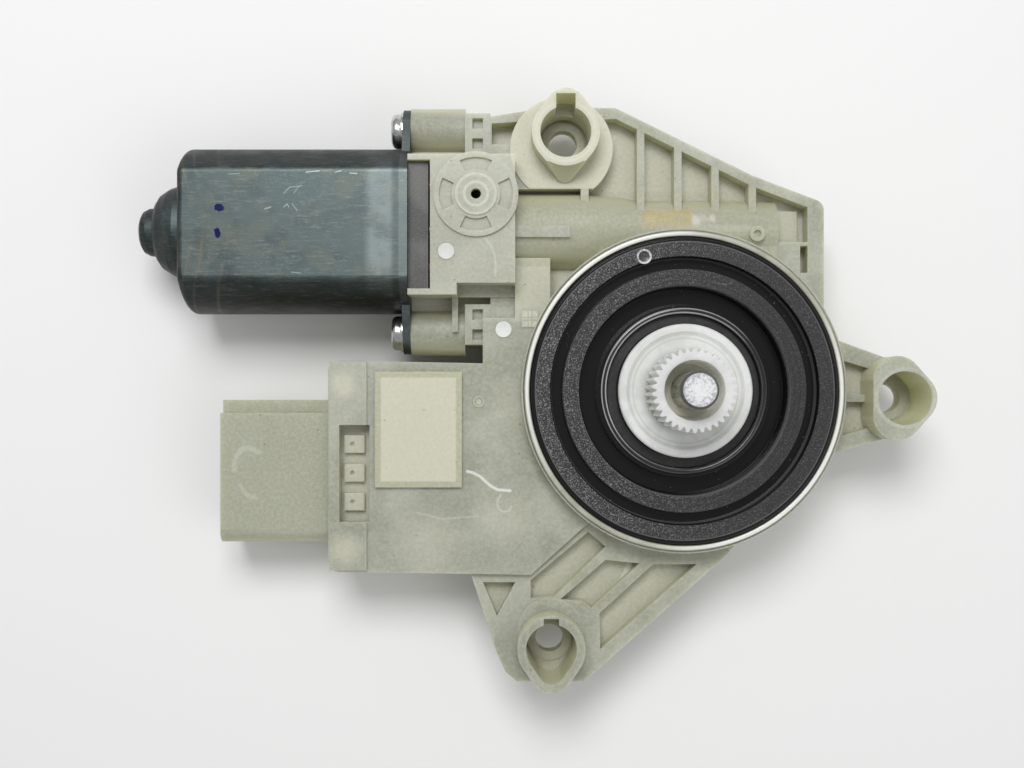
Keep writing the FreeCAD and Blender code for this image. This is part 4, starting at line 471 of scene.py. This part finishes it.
# points, half width and strength of each scratch
canScratches = [
    ([(-88.7, 43.7), (-87.4, 45.0), (-84.7, 45.3)], 0.02, 0.45),
    ([(-86.5, 43.7), (-85.4, 45.2)], 0.02, 0.35),
    ([(-92.9, 40.2), (-91.6, 40.6)], 0.08, 0.35),
    ([(-88.7, 40.6), (-88.0, 41.3), (-87.6, 40.6)], 0.03, 0.45),
    ([(-86.9, 41.3), (-85.8, 39.9)], 0.02, 0.45),
    ([(-83.8, 48.3), (-80.9, 48.6)], 0.04, 0.55),
    ([(-77.4, 48.3), (-76.1, 48.6)], 0.04, 0.45),
    ([(-74.1, 48.1), (-72.6, 48.0)], 0.06, 0.55),
    ([(-101.0, 47.9), (-98.5, 48.0)], 0.03, 0.30),
    ([(-87.0, 26.2), (-85.0, 26.0)], 0.05, 0.35),
]
# x, y, half width, half height and slant of the ink spots
inkSpots = [(-103.0, 40.5, 1.15, 0.95, 0.0), (-103.4, 34.9, 0.75, 1.30, 0.35)]
# x and width of the bowed lines at the closed end, where the plating yellows
canArcs = [(-111.6, 0.9), (-109.2, 0.45), (-106.6, 0.5), (-101.2, 0.6)]
canMiddle = 37.0
canBow = 0.012


def canFinish():
    look = canLook
    finish = Finish("zincCan", {})
    top = finish.step(finish.up, 0.45, 0.98)
    clouds = finish.step(finish.noise(7.0, 5.0, 0.65), 0.34, 0.66)
    rolling = finish.noise(0.45, 4.0, 0.7, stretch=(0.16, 1.0, 1.0))
    colour = finish.mix(clouds, look["dull"], look["zinc"])
    tint = finish.step(finish.noise(5.0, 3.0, shift=(8, 1, 3)), 0.46, 0.66)
    colour = finish.mix(tint * 0.22, colour, look["warm"])
    # the sides are painted dark: painted shade
    colour = finish.mix(1 - top, colour, look["side"])
    colour = finish.mix(finish.step(rolling, 0.48, 0.74) * 0.16, colour, look["bright"])
    fine = finish.step(finish.noise(0.4, 4.0, 0.8), 0.55, 0.70)
    zone = finish.step(finish.noise(9.0, 3.0, shift=(4, 2, 0)), 0.42, 0.62)
    colour = finish.mix(fine * (zone * 0.22 + 0.05) * top, colour, look["bright"])
    # bands across the can beside the flange, and the bowed marks at its closed end
    band = finish.step(finish.x, -71.5, -69.0) * (1 - finish.step(finish.x, -65.6, -64.2)) * top
    colour = finish.mix(band * (clouds * 0.18 + 0.08), colour, look["bright"])
    side = finish.y - canMiddle
    bow = finish.x + side * side * canBow
    for x, width in canArcs:
        arc = 1 - finish.step(abs(bow - x), width * 0.3, width)
        colour = finish.mix(arc * (zone * 0.35 + 0.04), colour, look["warm"])
    nicks = finish.step(finish.noise(1.5, 6.0, 0.85, stretch=(0.7, 0.45, 1.0)), 0.69, 0.72) * zone
    colour = finish.mix(nicks * 0.6, colour, look["bright"])
    upper = finish.step(finish.z, 25.0, 26.0)
    for points, width, amount in canScratches:
        scratch = finish.stroke(points, width, 0.12) * upper
        colour = finish.mix(scratch * amount, colour, look["bright"])
    # painted highlight along the flange
    flange = finish.step(finish.x, -63.5, -63.3)
    colour = finish.mix(flange * 0.10, colour, look["bright"])
    ink = None
    for x, y, wide, high, slant in inkSpots:
        dy = (finish.y - y) / high
        dx = (finish.x - x) / wide + dy * slant
        blot = 1 - finish.step((dx * dx + dy * dy) ** 0.5 + finish.noise(0.7, 3.0) * 0.9, 1.25, 1.5)
        ink = blot if ink is None else ink.most(blot)
    ink = ink * finish.step(finish.z, 26.0, 26.4)
    colour = finish.mix(ink, colour, look["ink"])
    finish.look({"Base Color": colour, "Metallic": 1 - ink})
    finish.look({"Roughness": clouds * 0.12 + rolling * 0.2 + ink * 0.4 + 0.32})
    finish.bump(rolling * 0.5 + fine * 0.3, 0.15, 0.10)
    return finish.material


# Bare and plated metals, with marks and slow changes of shade

def metal(name, colour, shade, roughness, size, stretch):
    finish = Finish(name, {"Metallic": 1.0})
    marks = finish.noise(size * 0.3, 4.0, 0.6, stretch=stretch)
    drift = finish.step(finish.noise(size, 3.0), 0.35, 0.65)
    finish.look({"Base Color": finish.mix(drift * 0.5 + finish.step(marks, 0.45, 0.7) * 0.5, colour, shade)})
    finish.look({"Roughness": marks * 0.2 + (roughness - 0.1)})
    finish.bump(marks, 0.15, 0.06)
    return finish.material


# Turns of lacquered wire

windingLook = {"gap": (0.20, 0.07, 0.03), "wire": (0.62, 0.27, 0.13)}


def windingFinish():
    finish = Finish("copperTurns", {"Metallic": 1.0, "Roughness": 0.32})
    spot = {"Vector": finish.place, "Scale": 0.9, "Distortion": 1.5, "Detail": 1.0}
    turns = finish.node("ShaderNodeTexWave", {"bands_direction": "DIAGONAL"}, spot, "Fac")
    finish.look({"Base Color": finish.mix(turns, windingLook["gap"], windingLook["wire"])})
    finish.bump(turns, 0.6, 0.3)
    return finish.material


def paint(material, *names):
    for name in names:
        data = nodes[name].data
        data.materials.clear()
        data.materials.append(material)


milky = housingFinish()
paint(milky, "gear_housing", "connector_header")
paint(lidFinish("blackLid", 0.20), "gear_cover")
paint(lidFinish("grainedSeal", 0.28), "panel_seal")
paint(hubFinish(), "drive_hub")
paint(pinFinish(), "axle_pin")
paint(canFinish(), "motor_can")
paint(windingFinish(), "rear_winding", "front_winding", "choke_coils")

mouldings = [
    # name, colour, shade, roughness, size and depth of the grain, nodes
    ("lipRubber", (0.012, 0.012, 0.013), (0.030, 0.030, 0.030), 0.36, 0.8, 0.05, ["hub_lip_seal"]),
    ("gearWheel", (0.66, 0.65, 0.57), (0.58, 0.57, 0.49), 0.40, 1.2, 0.04, ["worm_wheel"]),
    ("creamRing", (0.70, 0.69, 0.60), (0.60, 0.59, 0.50), 0.40, 1.2, 0.04, ["retaining_ring"]),
    ("damperRubber", (0.045, 0.045, 0.047), (0.07, 0.07, 0.07), 0.60, 0.8, 0.08, ["rubber_damper"]),
    ("greyHolder", (0.055, 0.055, 0.054), (0.175, 0.172, 0.160), 0.50, 0.40, 0.25, ["brush_holder"]),
    ("ferrite", (0.045, 0.045, 0.05), (0.07, 0.07, 0.07), 0.60, 0.5, 0.06,
     ["field_magnets", "sensor_magnet"]),
    ("carbon", (0.02, 0.02, 0.022), (0.04, 0.04, 0.04), 0.45, 0.4, 0.05, ["carbon_brushes"]),
    ("boardLacquer", (0.012, 0.10, 0.035), (0.02, 0.13, 0.05), 0.28, 0.8, 0.03, ["circuit_board"]),
    ("blackCases", (0.015, 0.015, 0.016), (0.03, 0.03, 0.03), 0.40, 0.6, 0.04,
     ["motor_relays", "control_chip"]),
]
for *values, names in mouldings:
    paint(moulding(*values), *names)

metals = [
    # name, colour, shade, roughness, size and stretch of the marks, nodes
    ("groundSteel", (0.78, 0.78, 0.78), (0.60, 0.60, 0.60), 0.24, 2.0, (1, 1, 1),
     ["armature_shaft", "thrust_plug"]),
    ("brightPlating", (0.70, 0.71, 0.70), (0.40, 0.41, 0.41), 0.22, 1.5, (1, 1, 1), ["can_screws"]),
    ("sheetStack", (0.34, 0.34, 0.35), (0.25, 0.25, 0.26), 0.38, 1.0, (6, 0.3, 0.3), ["armature_core"]),
    ("bronze", (0.50, 0.32, 0.17), (0.40, 0.26, 0.14), 0.42, 3.0, (1, 1, 1),
     ["rear_bearing", "front_bearing", "worm_end_bearing"]),
    ("brass", (0.72, 0.55, 0.26), (0.60, 0.46, 0.22), 0.30, 3.0, (1, 1, 1),
     ["connector_blades", "motor_strips", "brush_springs", "commutator"]),
    ("capacitorCan", (0.66, 0.67, 0.70), (0.55, 0.56, 0.60), 0.30, 3.0, (1, 1, 1), ["board_capacitor"]),
]
for *values, names in metals:
    paint(metal(*values), *names)
print("finishes painted")


# Moulded and drawn edges: a narrow bevel on each sharp edge

edgeWidths = {
    "gear_housing": 0.35,
    "connector_header": 0.35,
    "gear_cover": 0.18,
    "panel_seal": 0.10,
    "drive_hub": 0.10,
    "brush_holder": 0.20,
    "can_screws": 0.12,
}


def softenEdges(piece, width):
    weld = piece.modifiers.new("weld", "WELD")
    weld.merge_threshold = 0.002 * mm
    bevel = piece.modifiers.new("bevel", "BEVEL")
    bevel.limit_method = "ANGLE"
    bevel.angle_limit = math.radians(30)
    bevel.width = width * mm
    bevel.segments = 2
    bevel.use_clamp_overlap = True
    bevel.harden_normals = True


for name, width in edgeWidths.items():
    softenEdges(nodes[name], width)
print("edges softened")


# Polished rim of the drum with a painted highlight line and painted shade either side, and the black lip
# round the hub with painted highlight lines

rimLook = {
    "colour": (0.400, 0.405, 0.330),
    "shade": (0.300, 0.305, 0.225),
    "line": (0.900, 0.900, 0.860),
    "insidePaintedShade": (0.050, 0.048, 0.036),
    "outsidePaintedShade": (0.090, 0.090, 0.060),
    "lineRadius": 35.0,
}


def rimFinish():
    look = rimLook
    finish = Finish("drumRim", {
        "Subsurface Weight": 0.35, "Subsurface Radius": (1.0, 1.0, 0.7), "Subsurface Scale": 2.0 * mm,
    })
    away = finish.away(0, 0)
    drift = finish.step(finish.noise(6.0, 3.0), 0.4, 0.65)
    colour = finish.mix(drift, look["shade"], look["colour"])
    # painted highlight line along the bead, strongest on two opposite sides
    wearAndPaintedLight = finish.step(abs(finish.x * 0.8 - finish.y * 0.6), 8.0, 30.0)
    line = finish.ring(0, 0, look["lineRadius"], 0.35, 0.35)
    colour = finish.mix(line * (wearAndPaintedLight * 0.75 + 0.15), colour, look["line"])
    # painted shade inside and outside the bead
    colour = finish.mix(1 - finish.step(away, 34.35, 34.6), colour, look["insidePaintedShade"])
    colour = finish.mix(finish.step(away, 35.45, 35.7) * 0.75, colour, look["outsidePaintedShade"])
    finish.look({"Base Color": colour, "Roughness": finish.noise(2.0, 3.0) * 0.16 + 0.14})
    finish.bump(finish.noise(1.2, 2.0), 0.08, 0.08)
    return finish.material


lipLook = {"colour": (0.010, 0.010, 0.011), "wearAndPaintedLight": (0.80, 0.80, 0.80), "inner": 17.45, "outer": 18.35}


def lipFinish():
    look = lipLook
    finish = Finish("glossLip", {"Specular IOR Level": 0.6})
    # painted highlight lines on the lip, strongest towards one side
    wearAndPaintedLight = finish.step(finish.noise(6.0, 3.0) * 12.0 - finish.x * 0.4 + finish.y * 0.3, 0.0, 14.0)
    inner = finish.ring(0, 0, look["inner"], 0.16, 0.14)
    outer = finish.ring(0, 0, look["outer"], 0.10, 0.16) * 0.7
    colour = finish.mix(inner.most(outer) * (wearAndPaintedLight * 0.6 + 0.06), look["colour"], look["wearAndPaintedLight"])
    finish.look({"Base Color": colour, "Roughness": finish.noise(1.0, 2.0) * 0.1 + 0.12})
    return finish.material


# Small moulding marks that stand on the housing and the lid

markLook = {"height": 0.20, "sunk": 0.05, "edge": 0.06, "sides": 40}
frosted = moulding("frostedMark", (0.740, 0.755, 0.735), (0.560, 0.570, 0.540), 0.50, 0.30, 0.10)
lidMark = circleFinish("lidMark", -9.0, 29.8, 1.70, (0.024, 0.024, 0.025), (0.620, 0.620, 0.610))
boxMark = circleFinish("boxMark", -45.8, -2.4, 1.05, (0.480, 0.485, 0.390), (0.290, 0.295, 0.200))
mouldMarks = [
    # name, x, y, z, radius, rim width, how far the middle drops, material
    ("boxRing", -45.8, -2.4, 22.0, 1.30, 0.40, 0.10, boxMark),
    ("lidRing", -9.0, 29.8, 28.0, 1.70, 0.32, 0.12, lidMark),
    ("blockDisc", -52.9, 31.0, 28.0, 1.80, 0.30, 0.08, frosted),
    ("shelfDisc", -40.2, 14.0, 22.0, 1.84, 0.30, 0.08, frosted),
]
gridMark = {"x": -34.2, "y": 16.4, "z": 22.0, "size": 4.0, "rim": 0.45, "drop": 0.06}


# A flat outline raised into a low plate, with its middle sunk to leave a rim
def raiseMark(name, rim, drop, material):
    bpy.ops.object.mode_set(mode="EDIT")
    bpy.ops.mesh.select_all(action="SELECT")
    rise = (0, 0, (markLook["height"] + markLook["sunk"]) * mm)
    bpy.ops.mesh.extrude_region_move(TRANSFORM_OT_translate={"value": rise})
    bpy.ops.mesh.inset(thickness=rim * mm, use_individual=True)
    bpy.ops.transform.translate(value=(0, 0, -drop * mm))
    bpy.ops.mesh.select_all(action="SELECT")
    bpy.ops.mesh.normals_make_consistent(inside=False)
    bpy.ops.object.mode_set(mode="OBJECT")
    bpy.ops.object.transform_apply(location=True, rotation=True, scale=True)
    mark = bpy.context.object
    mark.name = name
    bevel = mark.modifiers.new("bevel", "BEVEL")
    bevel.width = markLook["edge"] * mm
    bevel.segments = 2
    bpy.ops.object.modifier_apply(modifier="bevel")
    bpy.ops.object.shade_smooth_by_angle(angle=math.radians(35))
    mark.data.materials.append(material)
    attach(mark, "housing")


for name, x, y, z, radius, rim, drop, material in mouldMarks:
    bpy.ops.object.select_all(action="DESELECT")
    spot = (x * mm, y * mm, (z - markLook["sunk"]) * mm)
    sides = markLook["sides"]
    bpy.ops.mesh.primitive_circle_add(vertices=sides, radius=radius * mm, fill_type="NGON", location=spot)
    raiseMark(name, rim, drop, material)

bpy.ops.object.select_all(action="DESELECT")
bpy.ops.mesh.primitive_grid_add(
    x_subdivisions=2, y_subdivisions=2, size=gridMark["size"] * mm,
    location=(gridMark["x"] * mm, gridMark["y"] * mm, (gridMark["z"] - markLook["sunk"]) * mm),
)
gridMaterial = gridFinish(gridMark["x"], gridMark["y"], gridMark["size"] / 2)
raiseMark("gridMark", gridMark["rim"], gridMark["drop"], gridMaterial)
print("moulding marks added")


# Rounded beads turned about the drum's axis: the drum's rim and the lip round the hub

beadLook = {"steps": 128, "sides": 12}
beads = [
    # name, radius of the bead's middle, its half width and half height, z, material
    ("drumBead", 35.05, 0.82, 0.55, 27.0, rimFinish()),
    ("hubLip", 17.95, 0.72, 0.60, 26.5, lipFinish()),
]


# A circle, flattened, spun once round the axis
def turnBead(name, radius, wide, high, z, material):
    bpy.ops.object.select_all(action="DESELECT")
    bpy.ops.mesh.primitive_circle_add(
        vertices=beadLook["sides"], radius=wide * mm,
        location=(radius * mm, 0, z * mm), rotation=(math.pi / 2, 0, 0),
    )
    bead = bpy.context.object
    bead.name = name
    bpy.ops.transform.resize(value=(1, 1, high / wide))
    bpy.ops.object.transform_apply(location=True, rotation=True, scale=True)
    bpy.ops.object.mode_set(mode="EDIT")
    bpy.ops.mesh.select_all(action="SELECT")
    bpy.ops.mesh.spin(steps=beadLook["steps"], angle=2 * math.pi, center=(0, 0, 0), axis=(0, 0, 1))
    bpy.ops.mesh.select_all(action="SELECT")
    bpy.ops.mesh.remove_doubles(threshold=0.01 * mm)
    bpy.ops.mesh.normals_make_consistent(inside=False)
    bpy.ops.object.mode_set(mode="OBJECT")
    bpy.ops.object.shade_smooth_by_angle(angle=math.radians(50))
    bead.data.materials.append(material)
    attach(bead, "housing")


for bead in beads:
    turnBead(*bead)
print("beads turned")


# Stage, light and camera

stageLook = {"floor": (0.86, 0.86, 0.86), "size": 3.0, "world": 0.42}
lampLook = {
    # place, aim, size and power of each lamp
    "key": ((-0.10, 0.32, 0.62), (-0.02, 0.0, 0.0), (0.34, 0.26), 3.0),
    "fill": ((0.40, -0.30, 0.60), (-0.03, 0.0, 0.0), (0.5, 0.5), 0.9),
}


def addFloor():
    bpy.ops.object.select_all(action="DESELECT")
    bpy.ops.mesh.primitive_plane_add(size=stageLook["size"], location=(0, 0, 0))
    floor = bpy.context.object
    floor.name = "floor"
    finish = Finish("paleFloor", {"Base Color": stageLook["floor"], "Roughness": 0.9})
    floor.data.materials.append(finish.material)


def addLamp(name, spot, aim, size, power):
    data = bpy.data.lights.new(name, "AREA")
    data.shape = "RECTANGLE"
    data.size, data.size_y = size
    data.energy = power
    lamp = bpy.data.objects.new(name, data)
    bpy.context.scene.collection.objects.link(lamp)
    lamp.location = spot
    lamp.rotation_euler = (Vector(aim) - Vector(spot)).to_track_quat("-Z", "Y").to_euler()


def addWorld():
    world = bpy.data.worlds.new("studio")
    bpy.context.scene.world = world
    world.use_nodes = True
    world.node_tree.nodes["Background"].inputs["Color"].default_value = (1, 1, 1, 1)
    world.node_tree.nodes["Background"].inputs["Strength"].default_value = stageLook["world"]


# The photograph was taken from straight above. The camera stands over the point of the part
# that shows no lean, and its shift brings the frame to the picture's middle.
cameraLook = {
    "place": (-39.86, -2.03, 285.0),
    "focalPixels": 1159.0,
    "wide": 1024,
    "high": 768,
    "plumb": (505.0, 400.0),
    "sensor": 36.0,
}


def addCamera():
    look = cameraLook
    data = bpy.data.cameras.new("camera")
    data.sensor_width = look["sensor"]
    data.lens = look["focalPixels"] / look["wide"] * look["sensor"]
    data.shift_x = (look["wide"] / 2 - look["plumb"][0]) / look["wide"]
    data.shift_y = (look["plumb"][1] - look["high"] / 2) / look["wide"]
    data.clip_start = 0.01
    camera = bpy.data.objects.new("camera", data)
    bpy.context.scene.collection.objects.link(camera)
    camera.location = Vector(look["place"]) * mm
    bpy.context.scene.camera = camera


addFloor()
addWorld()
for name, values in lampLook.items():
    addLamp(name, *values)
addCamera()
bpy.context.scene.view_settings.view_transform = "Standard"
print("stage set")
